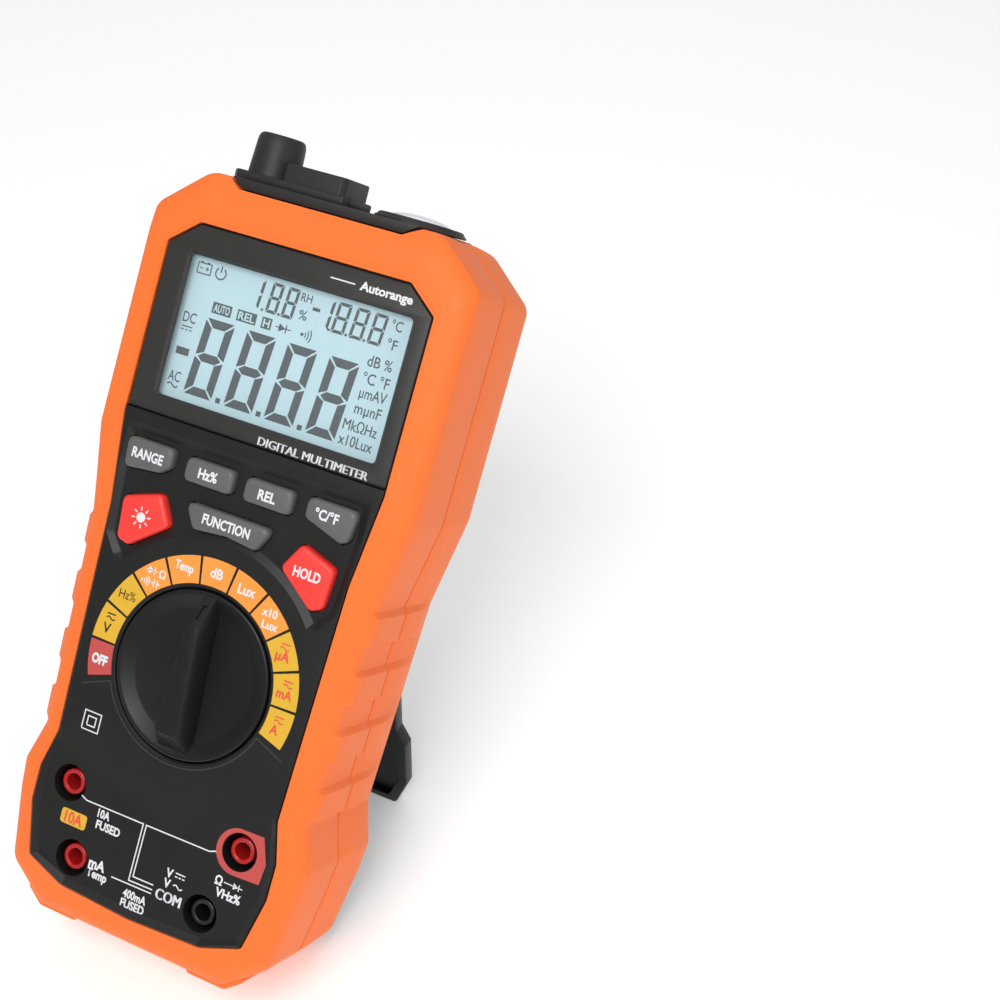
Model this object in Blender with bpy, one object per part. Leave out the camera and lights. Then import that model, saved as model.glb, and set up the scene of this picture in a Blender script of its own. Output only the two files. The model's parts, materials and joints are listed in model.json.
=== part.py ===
"""Hand-held digital multimeter that stands on its tilt stand, as separate pieces.

The meter is modelled in its own face frame, in millimetres: x to the right, y up the face and z out
of the face, with the origin at the centre of the selector knob on the plane of the front panel.
An empty called lean carries every piece.  At the end it leans the meter back until the rear bottom
edge of the case and the foot of the open stand both touch the table, z = 0.
"""

import math

import bmesh
import bpy
from mathutils import Vector

MM = 0.001
GAP = 0.3

# Heights along z, measured from the front panel.
SEAM_Z = -20.5
BACK_Z = -40.0
PANEL_UNDER_Z = -2.4
DISPLAY_UNDER_Z = -4.0
BOARD_TOP_Z = -12.0
BOARD_THICK = 1.6
BOARD_UNDER_Z = BOARD_TOP_Z - BOARD_THICK
BOARD_LOW_Y = -62.2
BOARD_HIGH_Y = 101.0
RECESS_Z = -34.0
REAR_FLOOR_Z = -38.0

# Half outlines, right side, top to bottom: (x, y, corner radius).  Both have the same corners.
PANEL_HALF = [
    (0.0, 103.4, 0.0), (28.1, 103.4, 1.0), (35.6, 97.4, 1.0), (35.6, 55.3, 4.0),
    (33.0, 33.0, 8.0), (31.4, -25.3, 3.0), (33.9, -35.0, 3.0), (33.9, -44.0, 6.0),
    (30.8, -57.5, 1.5), (20.3, -61.5, 6.0), (0.0, -62.5, 0.0),
]
OUTER_HALF = [
    (0.0, 115.8, 0.0), (31.0, 115.8, 6.5), (43.6, 105.4, 4.5), (43.6, 50.1, 8.0),
    (39.5, 27.1, 8.0), (37.6, -25.2, 4.0), (40.9, -35.9, 4.0), (40.2, -43.0, 8.0),
    (37.4, -61.5, 5.0), (27.0, -70.0, 5.0), (0.0, -70.0, 0.0),
]
CORNER_STEPS = 2

# Share of the way from the panel outline to the outer outline.
CASE_OUT = 0.63
CASE_IN = 0.40
SKIN_IN = 0.70
BOARD_EDGE = 0.30

# Selector.
KNOB_R = 20.6
KNOB_DISH_R = 15.9
WELL_R = 21.1
WELL_WALL = 1.4
WELL_FLOOR_Z = -3.4
SHAFT_R = 4.6
ROTOR_R = 16.5

# Display.
GLASS_X = (-28.9, 30.7)
GLASS_Y = (61.6, 95.9)
BEZEL_HALF_X = 35.3

# Jacks: name, centre.
JACKS = [("10a", (-24.9, -36.6)), ("ma", (-19.3, -54.2)), ("com", (18.0, -53.9)), ("volt", (23.9, -35.9))]
JACK_WELL_R = 4.6
JACK_WELL_OUT = 5.5
JACK_SLEEVE_R = 3.15
JACK_BORE_R = 2.1
JACK_SLEEVE_Z = -2.2

# Buttons: name, corners.
BUTTON_HEIGHT = 1.3
BUTTON_TRAVEL_ROOM = 1.4
BUTTONS = {
    "range_button": [(-32.0, 50.3), (-18.8, 50.3), (-18.8, 45.7), (-21.6, 43.6), (-31.5, 42.6)],
    "hz_button": [(-15.0, 50.0), (-1.8, 50.0), (-1.8, 44.1), (-15.0, 44.1)],
    "rel_button": [(1.4, 50.0), (14.4, 50.0), (14.4, 44.1), (1.4, 44.1)],
    "temp_button": [(18.1, 50.3), (31.3, 50.3), (30.4, 43.0), (28.6, 41.9), (18.1, 45.2)],
    "function_button": [(-12.8, 39.8), (11.6, 39.8), (8.2, 33.6), (0.0, 34.5), (-9.2, 33.6)],
    "light_button": [(-29.4, 35.9), (-19.2, 39.2), (-15.2, 32.2), (-25.2, 24.6), (-28.5, 25.6)],
    "hold_button": [(19.6, 39.2), (29.2, 35.9), (28.6, 26.2), (25.6, 24.7), (15.5, 32.3)],
}

# Grips down each side: top of the first, step to the next, height, and how far they stand out.
GRIP_TOP = 28.6
GRIP_STEP = 14.7
GRIP_HEIGHT = 8.9
GRIP_ROOT = 1.4
GRIP_OUT = 1.3

# Stand.
PIVOT = (24.0, -37.2)
STAND_LENGTH = 74.2
STAND_OPEN = math.radians(35.6)
STAND_THICK = 2.2
STAND_FLANGE = 3.8
STAND_ARM_X = 30.6
STAND_FOOT_X = 33.2
PIVOT_R = 2.0

# Battery bay.
BATTERY = (48.5, 26.5, 17.5)
BATTERY_Y = -9.0
BAY_WALL = 1.2

# Sensors on the top edge.
TOP_Z = -16.5
DECK_LOW_Y = 110.2
MIC_X = -21.5
LIGHT_X = 19.4

CASE_SCREWS = [(28.0, 104.4), (-28.0, 104.4), (27.0, -58.6), (-27.0, -58.6)]
BOARD_SCREWS = [(29.0, 19.0), (-29.0, 19.0), (27.6, -24.0), (-27.6, -24.0)]

# Colour, roughness, metallic.
BLACK = ("case_black", (0.019, 0.019, 0.019), 0.5, 0.0)
GREY = ("cap_grey", (0.13, 0.13, 0.13), 0.55, 0.0)
BEZEL_GREY = ("bezel_grey", (0.045, 0.045, 0.043), 0.4, 0.0)
ORANGE = ("rubber_orange", (1.0, 0.21, 0.045), 0.6, 0.0)
RED = ("cap_red", (1.0, 0.07, 0.06), 0.5, 0.0)
JACK_RED = ("jack_red", (0.56, 0.02, 0.02), 0.4, 0.0)
CLEAR = ("window_clear", (0.9, 0.95, 0.95), 0.05, 0.0)
LCD = ("lcd_pale", (0.58, 0.77, 0.82), 0.3, 0.0)
WHITE = ("diffuser_white", (0.85, 0.87, 0.9), 0.25, 0.0)
BOARD_GREEN = ("board_green", (0.02, 0.16, 0.06), 0.5, 0.0)
BRASS = ("brass", (0.75, 0.53, 0.22), 0.3, 1.0)
STEEL = ("steel", (0.5, 0.5, 0.5), 0.35, 1.0)
CERAMIC = ("ceramic", (0.8, 0.78, 0.72), 0.5, 0.0)
SILICONE = ("silicone", (0.3, 0.3, 0.32), 0.7, 0.0)

LEAN = None


# ---- outlines ---------------------------------------------------------------------------------

def fillet(points, steps=CORNER_STEPS):
    """Rounds the corners of a closed outline of (x, y, radius), and returns (x, y) points."""
    rounded = []
    for index, (x, y, radius) in enumerate(points):
        here = Vector((x, y))
        if radius <= 0.0:
            rounded.append((x, y))
            continue
        before = Vector(points[index - 1][:2]) - here
        after = Vector(points[(index + 1) % len(points)][:2]) - here
        half_turn = before.angle(after) / 2.0
        reach = min(radius / math.tan(half_turn), before.length * 0.49, after.length * 0.49)
        start = here + before.normalized() * reach
        end = here + after.normalized() * reach
        for step in range(steps + 1):
            t = step / steps
            point = start * (1 - t) ** 2 + here * (2 * t * (1 - t)) + end * t ** 2
            rounded.append((point.x, point.y))
    return rounded


def mirrored(half):
    """Completes a half outline whose first and last points lie on x = 0."""
    left = [(-x, y, radius) for x, y, radius in reversed(half[1:-1])]
    return half + left


PANEL = fillet(mirrored(PANEL_HALF))
OUTER = fillet(mirrored(OUTER_HALF))


def ring(share, z):
    """One level of the case: the outline that lies a share of the way out, at height z."""
    return [
        (px + (ox - px) * share, py + (oy - py) * share, z)
        for (px, py), (ox, oy) in zip(PANEL, OUTER)
    ]


def grown(corners, offset, radius, steps=CORNER_STEPS):
    """Moves each side of a convex outline out by an offset, then rounds its corners."""
    centre = sum((Vector(point) for point in corners), Vector((0.0, 0.0))) / len(corners)
    count = len(corners)
    sides = []
    for index in range(count):
        start = Vector(corners[index])
        along = Vector(corners[(index + 1) % count]) - start
        out = Vector((along.y, -along.x)).normalized()
        if out.dot(start - centre) < 0:
            out = -out
        sides.append((start + out * offset, along))
    moved = []
    for index in range(count):
        (p, d), (q, e) = sides[index - 1], sides[index]
        cross = d.x * e.y - d.y * e.x
        t = ((q.x - p.x) * e.y - (q.y - p.y) * e.x) / cross
        corner = p + d * t
        moved.append((corner.x, corner.y, radius))
    return fillet(moved, steps)


def circle(radius, steps, centre=(0.0, 0.0)):
    """Points round a circle in the face plane."""
    turns = [2 * math.pi * step / steps for step in range(steps)]
    return [(centre[0] + radius * math.cos(a), centre[1] + radius * math.sin(a)) for a in turns]


# ---- solids -----------------------------------------------------------------------------------

def material(finish):
    """The Principled material of a finish, made once."""
    name, colour, roughness, metallic = finish
    found = bpy.data.materials.get(name)
    if found:
        return found
    made = bpy.data.materials.new(name)
    made.use_nodes = True
    made.diffuse_color = (*colour, 1.0)
    shader = made.node_tree.nodes["Principled BSDF"]
    shader.inputs["Base Color"].default_value = (*colour, 1.0)
    shader.inputs["Roughness"].default_value = roughness
    shader.inputs["Metallic"].default_value = metallic
    return made


def solid(name, verts, faces, finish=BLACK, origin=(0.0, 0.0, 0.0)):
    """Makes one object from points in millimetres, with its own origin, under the lean empty."""
    mesh = bpy.data.meshes.new(name)
    base = Vector(origin)
    mesh.from_pydata([(Vector(p) - base) * MM for p in verts], [], faces)
    shape = bmesh.new()
    shape.from_mesh(mesh)
    bmesh.ops.recalc_face_normals(shape, faces=shape.faces)
    shape.to_mesh(mesh)
    shape.free()
    mesh.materials.append(material(finish))
    made = bpy.data.objects.new(name, mesh)
    made.location = base * MM
    made.parent = LEAN
    bpy.context.collection.objects.link(made)
    return made


def loft(name, rings, finish=BLACK, origin=(0.0, 0.0, 0.0), endless=False):
    """Joins closed rings of equal length, and caps the ends unless the rings close on themselves."""
    count = len(rings[0])
    verts = [point for level in rings for point in level]
    faces = []
    levels = len(rings)
    for low in range(levels if endless else levels - 1):
        high = (low + 1) % levels
        for index in range(count):
            after = (index + 1) % count
            faces.append((low * count + index, low * count + after,
                          high * count + after, high * count + index))
    if not endless:
        faces.append(tuple(range(count)))
        faces.append(tuple((levels - 1) * count + index for index in range(count)))
    return solid(name, verts, faces, finish, origin)


def prism(name, outline, low, high, finish=BLACK, origin=(0.0, 0.0, 0.0)):
    """An outline in the face plane, pulled along z."""
    rings = [[(x, y, z) for x, y in outline] for z in (low, high)]
    return loft(name, rings, finish, origin)


def block(name, x, y, z, finish=BLACK, origin=(0.0, 0.0, 0.0)):
    """A box between the given pairs of limits."""
    outline = [(x[0], y[0]), (x[1], y[0]), (x[1], y[1]), (x[0], y[1])]
    return prism(name, outline, z[0], z[1], finish, origin)


def turned(name, profile, centre, finish=BLACK, steps=20, axis="z", origin=(0.0, 0.0, 0.0)):
    """Turns a profile of (radius, along) about an axis through centre."""
    rings = []
    endless = profile[0][0] > 0.0
    turns = [2 * math.pi * step / steps for step in range(steps)]
    if not endless:
        profile = profile[1:-1]
    for radius, along in profile:
        level = []
        for a in turns:
            u = radius * math.cos(a)
            v = radius * math.sin(a)
            place = {"z": (u, v, along), "y": (u, along, v), "x": (along, u, v)}[axis]
            level.append(tuple(place[i] + centre[i] for i in range(3)))
        rings.append(level)
    return loft(name, rings, finish, origin, endless)


def pin(name, radius, low, high, centre, finish=BLACK, steps=12, axis="z", origin=(0.0, 0.0, 0.0)):
    """A plain cylinder along an axis."""
    profile = [(0.0, low), (radius, low), (radius, high), (0.0, high)]
    return turned(name, profile, centre, finish, steps, axis, origin)


def change(target, tool, operation):
    """Cuts or joins one solid with another, and removes the tool."""
    modifier = target.modifiers.new(operation, "BOOLEAN")
    modifier.operation = operation
    modifier.object = tool
    bpy.context.view_layer.update()
    graph = bpy.context.evaluated_depsgraph_get()
    mesh = bpy.data.meshes.new_from_object(target.evaluated_get(graph))
    target.modifiers.clear()
    old = target.data
    target.data = mesh
    bpy.data.meshes.remove(old)
    bpy.data.objects.remove(tool)


def cut(target, *tools):
    """Takes the tools' shapes away from the target."""
    for tool in tools:
        change(target, tool, "DIFFERENCE")


def join(target, *tools):
    """Adds the tools' shapes to the target as one body."""
    for tool in tools:
        change(target, tool, "UNION")


# ---- casings ----------------------------------------------------------------------------------

def bezel_outline(offset):
    """The display frame's outline with its two cut upper corners."""
    corners = [(-BEZEL_HALF_X, 57.0), (BEZEL_HALF_X, 57.0), (BEZEL_HALF_X, 97.2), (28.0, 103.0),
               (-28.0, 103.0), (-BEZEL_HALF_X, 97.2)]
    return grown(corners, offset, 0.8, 1)


def front_case():
    """The black front shell: the panel with its wells, holes and posts, and the side walls."""
    case = loft("front_case", [
        ring(-0.045, 0.0), ring(-0.045, -2.5), ring(CASE_OUT, -3.0), ring(CASE_OUT, SEAM_Z + GAP / 2),
        ring(CASE_IN, SEAM_Z + GAP / 2), ring(CASE_IN, DISPLAY_UNDER_Z),
    ], BLACK)
    cut(case, block("key_room", (-33.4, 33.4), (-55.2, 53.0), (-9.0, PANEL_UNDER_Z)))
    join(case, prism("dial_well", circle(WELL_R + WELL_WALL, 36), WELL_FLOOR_Z - WELL_WALL, -1.2))
    cut(case, prism("dial_room", circle(WELL_R, 36), WELL_FLOOR_Z, 3.0))
    cut(case, prism("shaft_hole", circle(SHAFT_R + 0.4, 20), -9.0, 0.0))
    for name, (x, y) in JACKS:
        join(case, pin("well_" + name, JACK_WELL_OUT, -11.4, -1.2, (x, y, 0.0), steps=20))
        cut(case, pin("bore_" + name, JACK_WELL_R, -12.0, 1.0, (x, y, 0.0), steps=20))
    for name, corners in BUTTONS.items():
        cut(case, prism("hole_" + name, grown(corners, 0.35, 1.6), -9.0, 1.0))
    cut(case, prism("bezel_room", bezel_outline(GAP), -2.2, 2.0))
    cut(case, block("window_room", (-33.4, 33.4), (58.4, 99.2), (-3.6, 0.0)))
    cut(case, block("lcd_hole", (-31.0, 31.0), (60.4, 97.0), (-9.0, 0.0)))
    for index, (x, y) in enumerate(BOARD_SCREWS + CASE_SCREWS):
        root = -2.0 if index < len(BOARD_SCREWS) else -3.4
        join(case, pin("post_%d" % index, 2.6, BOARD_TOP_Z + GAP, root, (x, y, 0.0)))
        cut(case, pin("pilot_%d" % index, 1.4, -13.0, -5.0, (x, y, 0.0), steps=8))
    cut(case, deck_room())
    return case


def skin_notch(name):
    """Cutter that lowers the top edge of the rubber where the sensor deck lies."""
    outline = [(-21.8, 113.2), (21.8, 113.2), (27.6, 117.0), (-27.6, 117.0)]
    return prism(name, outline, -60.0, 10.0)


def deck_room(name="deck_room"):
    """Cutter for the sensor deck's window in the top wall."""
    return block(name, (-24.5, 24.5), (DECK_LOW_Y - GAP, 120.0), (-34.3, -6.0))


def foot_pads(target, low, high):
    """Adds the two low feet, which fill out the bottom corners."""
    for side in (-1, 1):
        half = [(15.2, -69.0), (16.8, -71.0), (27.4, -71.0), (31.8, -67.4), (30.6, -66.2), (15.8, -68.4)]
        join(target, prism("bottom_pad", [(side * x, y) for x, y in half], low, high))


def grip_pads(target, low, high, reach):
    """Adds four raised grips down each side."""
    for side in (-1, 1):
        for number in range(4):
            top = GRIP_TOP - GRIP_STEP * number
            edge = [(side * x, y) for x, y in grip_edge(top, top - GRIP_HEIGHT, reach)]
            join(target, prism("grip", edge, low, high))


def side_x(y):
    """Half-width of the case beside the grips, on the straight run between two outer corners."""
    upper = OUTER_HALF[4]
    lower = OUTER_HALF[5]
    return lower[0] + (upper[0] - lower[0]) * (y - lower[1]) / (upper[1] - lower[1])


def grip_edge(top, bottom, reach):
    """Outline of one grip, from inside the skin to its face, with sloped upper and lower ends."""
    return [(side_x(top) - GRIP_ROOT, top), (side_x(top) + 0.2, top), (side_x(top) + reach, top - 1.1),
            (side_x(bottom) + reach, bottom + 1.1), (side_x(bottom) + 0.2, bottom),
            (side_x(bottom) - GRIP_ROOT, bottom)]


def front_bumper():
    """The orange rubber skin moulded round the front shell."""
    skin = loft("front_bumper", [
        ring(0.0, -0.2), ring(0.14, -0.85), ring(0.58, -1.35), ring(0.84, -2.6), ring(1.0, -5.4),
        ring(1.0, SEAM_Z + GAP / 2), ring(SKIN_IN, SEAM_Z + GAP / 2), ring(SKIN_IN, -2.6), ring(0.0, -2.15),
    ], ORANGE, endless=True)
    grip_pads(skin, SEAM_Z + GAP / 2, -3.2, GRIP_OUT)
    foot_pads(skin, SEAM_Z + GAP / 2, -4.4)
    cut(skin, skin_notch("front_notch"), deck_room())
    return skin


def rear_bumper():
    """The orange rubber skin moulded round the rear shell."""
    skin = loft("rear_bumper", [
        ring(1.0, SEAM_Z - GAP / 2), ring(0.95, -36.0), ring(0.84, BACK_Z),
        ring(SKIN_IN, BACK_Z), ring(SKIN_IN, SEAM_Z - GAP / 2),
    ], ORANGE, endless=True)
    grip_pads(skin, -34.0, SEAM_Z - GAP / 2, GRIP_OUT - 0.1)
    foot_pads(skin, -33.0, SEAM_Z - GAP / 2)
    cut(skin, skin_notch("rear_notch"), deck_room())
    return skin


def stand_outline(offset, heel=2.4):
    """The folded stand's outline as (x, distance down from the pivot)."""
    arm = STAND_ARM_X + offset
    foot = STAND_FOOT_X + offset
    end = STAND_LENGTH + offset
    return [(-arm, -heel), (arm, -heel), (arm, 44.5 - offset), (foot, 49.5 - offset),
            (foot, 65.0), (arm - 1.0, end), (1.0 - arm, end), (-foot, 65.0), (-foot, 49.5 - offset),
            (-arm, 44.5 - offset)]


def rear_case():
    """The black rear shell: side walls, a stepped back with the stand's recess, bay and posts."""
    case = loft("rear_case", [
        ring(CASE_OUT, SEAM_Z - GAP / 2), ring(CASE_OUT, BACK_Z),
    ], BLACK)
    cut(case, loft("main_room", [ring(CASE_IN, 0.0), ring(CASE_IN, RECESS_Z + 2.2)]))
    cut(case, block("upper_room", (-33.0, 33.0), (31.5, 101.0), (REAR_FLOOR_Z, -10.0)))
    cut(case, block("lower_room", (-24.0, 24.0), (-60.5, -53.6), (REAR_FLOOR_Z, -10.0)))
    recess = [(x, PIVOT[0] - down) for x, down in stand_outline(0.5, 4.4)]
    cut(case, prism("stand_recess", recess, BACK_Z - 3.0, RECESS_Z))
    for side in (-1, 1):
        cut(case, pin("pivot_room", PIVOT_R + GAP, side * 28.0, side * 32.8,
                      (0.0, PIVOT[0], PIVOT[1]), steps=12, axis="x"))
    width, height, _ = BATTERY
    bay = (width / 2 + 0.8, height / 2 + 0.8)
    wall = (bay[0] + BAY_WALL, bay[1] + BAY_WALL)
    join(case, block("bay", (-wall[0], wall[0]), (BATTERY_Y - wall[1], BATTERY_Y + wall[1]),
                     (RECESS_Z + 1.0, -16.2)))
    for index, (x, y) in enumerate(CASE_SCREWS):
        join(case, pin("boss_%d" % index, 2.8, REAR_FLOOR_Z - 0.5, BOARD_UNDER_Z - GAP, (x, y, 0.0)))
        cut(case, pin("shank_%d" % index, 1.5, -41.0, -10.0, (x, y, 0.0), steps=8))
        cut(case, pin("head_%d" % index, 2.3, -41.0, -37.6, (x, y, 0.0)))
    cut(case, block("bay_room", (-bay[0], bay[0]), (BATTERY_Y - bay[1], BATTERY_Y + bay[1]), (-41.0, -10.0)))
    cut(case, block("cover_step", (-28.3, 28.3), (BATTERY_Y - 20.3, BATTERY_Y + 16.3), (-41.0, -33.2)))
    cut(case, pin("cover_pilot", 1.1, -35.0, -32.6, (0.0, BATTERY_Y - 17.6, 0.0), steps=8))
    cut(case, deck_room())
    return case


# ---- display ----------------------------------------------------------------------------------

def display():
    """Frame, clear window, liquid-crystal glass, backlight, holder and contact strip."""
    bezel = prism("display_bezel", bezel_outline(0.0), -1.9, -0.5, BEZEL_GREY)
    cut(bezel, block("bezel_hole", GLASS_X, GLASS_Y, (-5.0, 2.0)))
    block("display_window", (-33.0, 33.0), (58.8, 98.8), (-3.3, -2.2), CLEAR)
    block("lcd_panel", (-32.4, 32.4), (59.0, 98.4), (-6.5, -4.3), LCD)
    block("backlight_panel", (-32.4, 32.4), (62.4, 98.4), (-9.2, -6.9), WHITE)
    block("contact_strip", (-29.0, 29.0), (59.4, 61.6), (BOARD_TOP_Z + GAP, -6.8), SILICONE)
    holder = block("lcd_holder", (-34.6, 34.6), (56.9, 100.6), (BOARD_TOP_Z + GAP, -4.3), BEZEL_GREY)
    cut(holder, block("holder_room", (-32.7, 32.7), (58.7, 98.7), (-14.0, 0.0)))


# ---- selector and buttons ---------------------------------------------------------------------

def handle_ring(share, z):
    """Outline of the pointer handle at one height; share 0 is its foot and 1 its top."""
    foot = [(-1.5, 20.0), (1.5, 20.0), (2.8, 15.7), (3.7, 0.0), (4.7, -15.5), (3.9, -18.8),
            (-3.9, -18.8), (-4.7, -15.5), (-3.7, 0.0), (-2.8, 15.7)]
    crest = [(-1.5, 12.6), (1.5, 12.6), (1.75, 10.5), (2.5, 0.0), (3.3, -12.5), (2.8, -14.4),
             (-2.8, -14.4), (-3.3, -12.5), (-2.5, 0.0), (-1.75, 10.5)]
    return [(a + (c - a) * share, b + (d - b) * share, z) for (a, b), (c, d) in zip(foot, crest)]


def selector():
    """Knob with its pointer handle, the rotor under the panel, its contact spring and detent."""
    knob = turned("selector_knob", [
        (0.0, -3.1), (KNOB_R - 0.4, -3.1), (KNOB_R, -2.6), (KNOB_R, -0.3), (KNOB_R - 0.5, 0.1),
        (19.3, 0.1), (KNOB_DISH_R, -1.1), (0.0, -1.1),
    ], (0.0, 0.0, 0.0), BLACK, steps=36)
    join(knob, loft("handle", [handle_ring(0.0, -2.0), handle_ring(0.0, -0.2), handle_ring(1.0, 5.6)]))
    join(knob, pin("shaft", SHAFT_R, -9.6, -2.0, (0.0, 0.0, 0.0), steps=20))
    turned("switch_rotor", [
        (SHAFT_R + GAP, -9.4), (ROTOR_R, -9.4), (ROTOR_R, -7.6), (8.0, -7.6), (8.0, -5.4),
        (SHAFT_R + GAP, -5.4),
    ], (0.0, 0.0, 0.0), CERAMIC, steps=24)
    brush = turned("rotor_contact", [(10.0, -10.2), (15.0, -10.2), (15.0, -9.75), (10.0, -9.75)],
                   (0.0, 0.0, 0.0), BRASS, steps=24)
    for step in range(3):
        angle = 2 * math.pi * step / 3
        place = (12.5 * math.cos(angle), 12.5 * math.sin(angle), 0.0)
        join(brush, pin("finger", 1.0, -11.6, -10.0, place, steps=8))
    spring = turned("detent_spring", [(9.4, -7.2), (12.2, -7.2), (12.2, -6.8), (9.4, -6.8)],
                    (0.0, 0.0, 0.0), STEEL, steps=24)
    for side in (-1, 1):
        join(spring, pin("click_nose", 0.9, -7.0, -5.3, (side * 10.8, 0.0, 0.0), steps=8))


def buttons():
    """Seven caps, each with a flange under the panel and a plunger over the rubber mat."""
    mat = block("keypad_mat", (-31.4, 31.4), (24.6, 51.4), (BOARD_TOP_Z + GAP, -11.0), SILICONE)
    for name, corners in BUTTONS.items():
        centre = sum((Vector(point) for point in corners), Vector((0.0, 0.0))) / len(corners)
        origin = (centre.x, centre.y, 0.0)
        finish = RED if name in ("light_button", "hold_button") else GREY
        wide = grown(corners, 0.0, 1.4)
        narrow = grown(corners, -0.7, 1.0)
        flange = grown(corners, 0.75, 1.6)
        levels = [(flange, -3.8), (flange, -2.8), (wide, -2.8), (wide, BUTTON_HEIGHT - 0.7),
                  (narrow, BUTTON_HEIGHT)]
        cap = loft(name, [[(x, y, z) for x, y in outline] for outline, z in levels], finish, origin)
        join(cap, pin("plunger", 2.0, -8.0, -3.0, origin, steps=10))
        join(mat, pin("dome", 2.6, -11.4, -8.0 - BUTTON_TRAVEL_ROOM, origin, SILICONE, steps=12))


# ---- inside -----------------------------------------------------------------------------------

def electronics():
    """Main board with what stands on it, and the screws that hold it."""
    under = BOARD_UNDER_Z
    board = loft("main_board", [ring(BOARD_EDGE, BOARD_TOP_Z), ring(BOARD_EDGE, under)], BOARD_GREEN)
    cut(board, block("top_trim", (-60.0, 60.0), (BOARD_HIGH_Y, 130.0), (-20.0, 0.0)))
    cut(board, block("bottom_trim", (-60.0, 60.0), (-90.0, BOARD_LOW_Y), (-20.0, 0.0)))
    for index, (x, y) in enumerate(CASE_SCREWS):
        if y < 0:
            cut(board, pin("relief_%d" % index, 2.4, -20.0, 0.0, (x, y, 0.0)))
    for index, (x, y) in enumerate(BOARD_SCREWS):
        cut(board, pin("clear_%d" % index, 1.6, -20.0, 0.0, (x, y, 0.0), steps=8))
        screw("board_screw_%d" % (index + 1), x, y, under - 1.9, under - GAP, -6.4, 2.4, 1.1)
    for name, (x, y) in JACKS:
        cut(board, pin("contact_hole", 3.3, -20.0, 0.0, (x, y, 0.0), steps=16))
    block("main_chip", (-7.0, 7.0), (66.0, 80.0), (under - 2.6, under - GAP), BLACK)
    pin("quartz_crystal", 1.6, -16.0, -6.0, (0.0, 60.0, under - GAP - 1.7), STEEL, axis="x")
    pin("buzzer", 7.0, under - 6.4, under - GAP, (22.0, 60.0, 0.0), BLACK, steps=20)


def screw(name, x, y, head_end, head_start, tip, head_r, shank_r):
    """A screw along z, driven from the back: the head lies between head_end and head_start."""
    made = turned(name, [
        (0.0, head_end), (head_r, head_end), (head_r, head_start), (shank_r, head_start),
        (shank_r, tip), (0.0, tip),
    ], (x, y, 0.0), STEEL, steps=10)
    cut(made, block("slot", (x - 0.35, x + 0.35), (y - 1.5, y + 1.5), (head_end - 1.0, head_end + 0.6)))
    return made


def jacks():
    """Four shrouded sockets: an insulating sleeve in its well and a metal contact inside."""
    for name, (x, y) in JACKS:
        finish = BLACK if name == "com" else JACK_RED
        turned("jack_sleeve_" + name, [
            (JACK_BORE_R, JACK_SLEEVE_Z), (JACK_SLEEVE_R - 0.3, JACK_SLEEVE_Z),
            (JACK_SLEEVE_R, JACK_SLEEVE_Z - 0.4), (JACK_SLEEVE_R, -8.6),
            (JACK_WELL_R - GAP, -9.2), (JACK_WELL_R - GAP, BOARD_TOP_Z + GAP),
            (3.3, BOARD_TOP_Z + GAP), (3.3, -8.9), (JACK_BORE_R, -8.9),
        ], (x, y, 0.0), finish, steps=18)
        turned("jack_contact_" + name, [
            (2.0, -9.3), (2.9, -9.3), (2.9, -21.0), (2.0, -21.0),
        ], (x, y, 0.0), BRASS, steps=14)


def fuse(name, radius, length, y, z):
    """A ceramic cartridge fuse along x, with its caps as part of the same body."""
    cap = length * 0.18
    half = length / 2
    turned(name, [
        (0.0, -half), (radius, -half), (radius, cap - half), (radius - 0.25, cap - half),
        (radius - 0.25, half - cap), (radius, half - cap), (radius, half), (0.0, half),
    ], (0.0, y, z), CERAMIC, steps=12, axis="x")
    base_top = BOARD_UNDER_Z - GAP
    clip = block("fuse_clip_" + name[5:], (-half + 0.4, half - 0.4), (y - radius - 0.9, y + radius + 0.9),
                 (z - radius * 0.3, base_top), BRASS)
    cut(clip, block("clip_gap", (cap - half + 0.6, half - cap - 0.6), (y - 20.0, y + 20.0),
                    (z - 20.0, base_top - 0.6)))
    cut(clip, pin("clip_bore", radius + 0.3, -half - 1.0, half + 1.0, (0.0, y, z), steps=12, axis="x"))


def power():
    """Battery, its snap connector, the battery cover and its screw."""
    width, height, depth = BATTERY
    low = -33.0
    block("battery", (-width / 2, width / 2 - 3.0), (BATTERY_Y - height / 2, BATTERY_Y + height / 2),
          (low, low + depth), STEEL)
    block("battery_snap", (width / 2 - 2.7, width / 2),
          (BATTERY_Y - height / 2 + 1.0, BATTERY_Y + height / 2 - 1.0), (low + 2.0, low + depth - 2.0), BLACK)
    cover = block("battery_cover", (-28.0, 28.0), (BATTERY_Y - 20.0, BATTERY_Y + 16.0), (-35.6, -33.5), BLACK)
    hole = (0.0, BATTERY_Y - 17.6, 0.0)
    cut(cover, pin("cover_hole", 1.5, -37.0, -32.0, hole, steps=10))
    cut(cover, pin("cover_sink", 2.6, -37.0, -34.7, hole, steps=10))
    screw("battery_cover_screw", hole[0], hole[1], -35.5, -35.0, -33.4, 2.3, 0.8)


# ---- sensors ----------------------------------------------------------------------------------

def upright(name, outline, low, high, finish=BLACK):
    """An outline of (x, z) pulled up along y."""
    rings = [[(x, y, z) for x, z in outline] for y in (low, high)]
    return loft(name, rings, finish)


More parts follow.
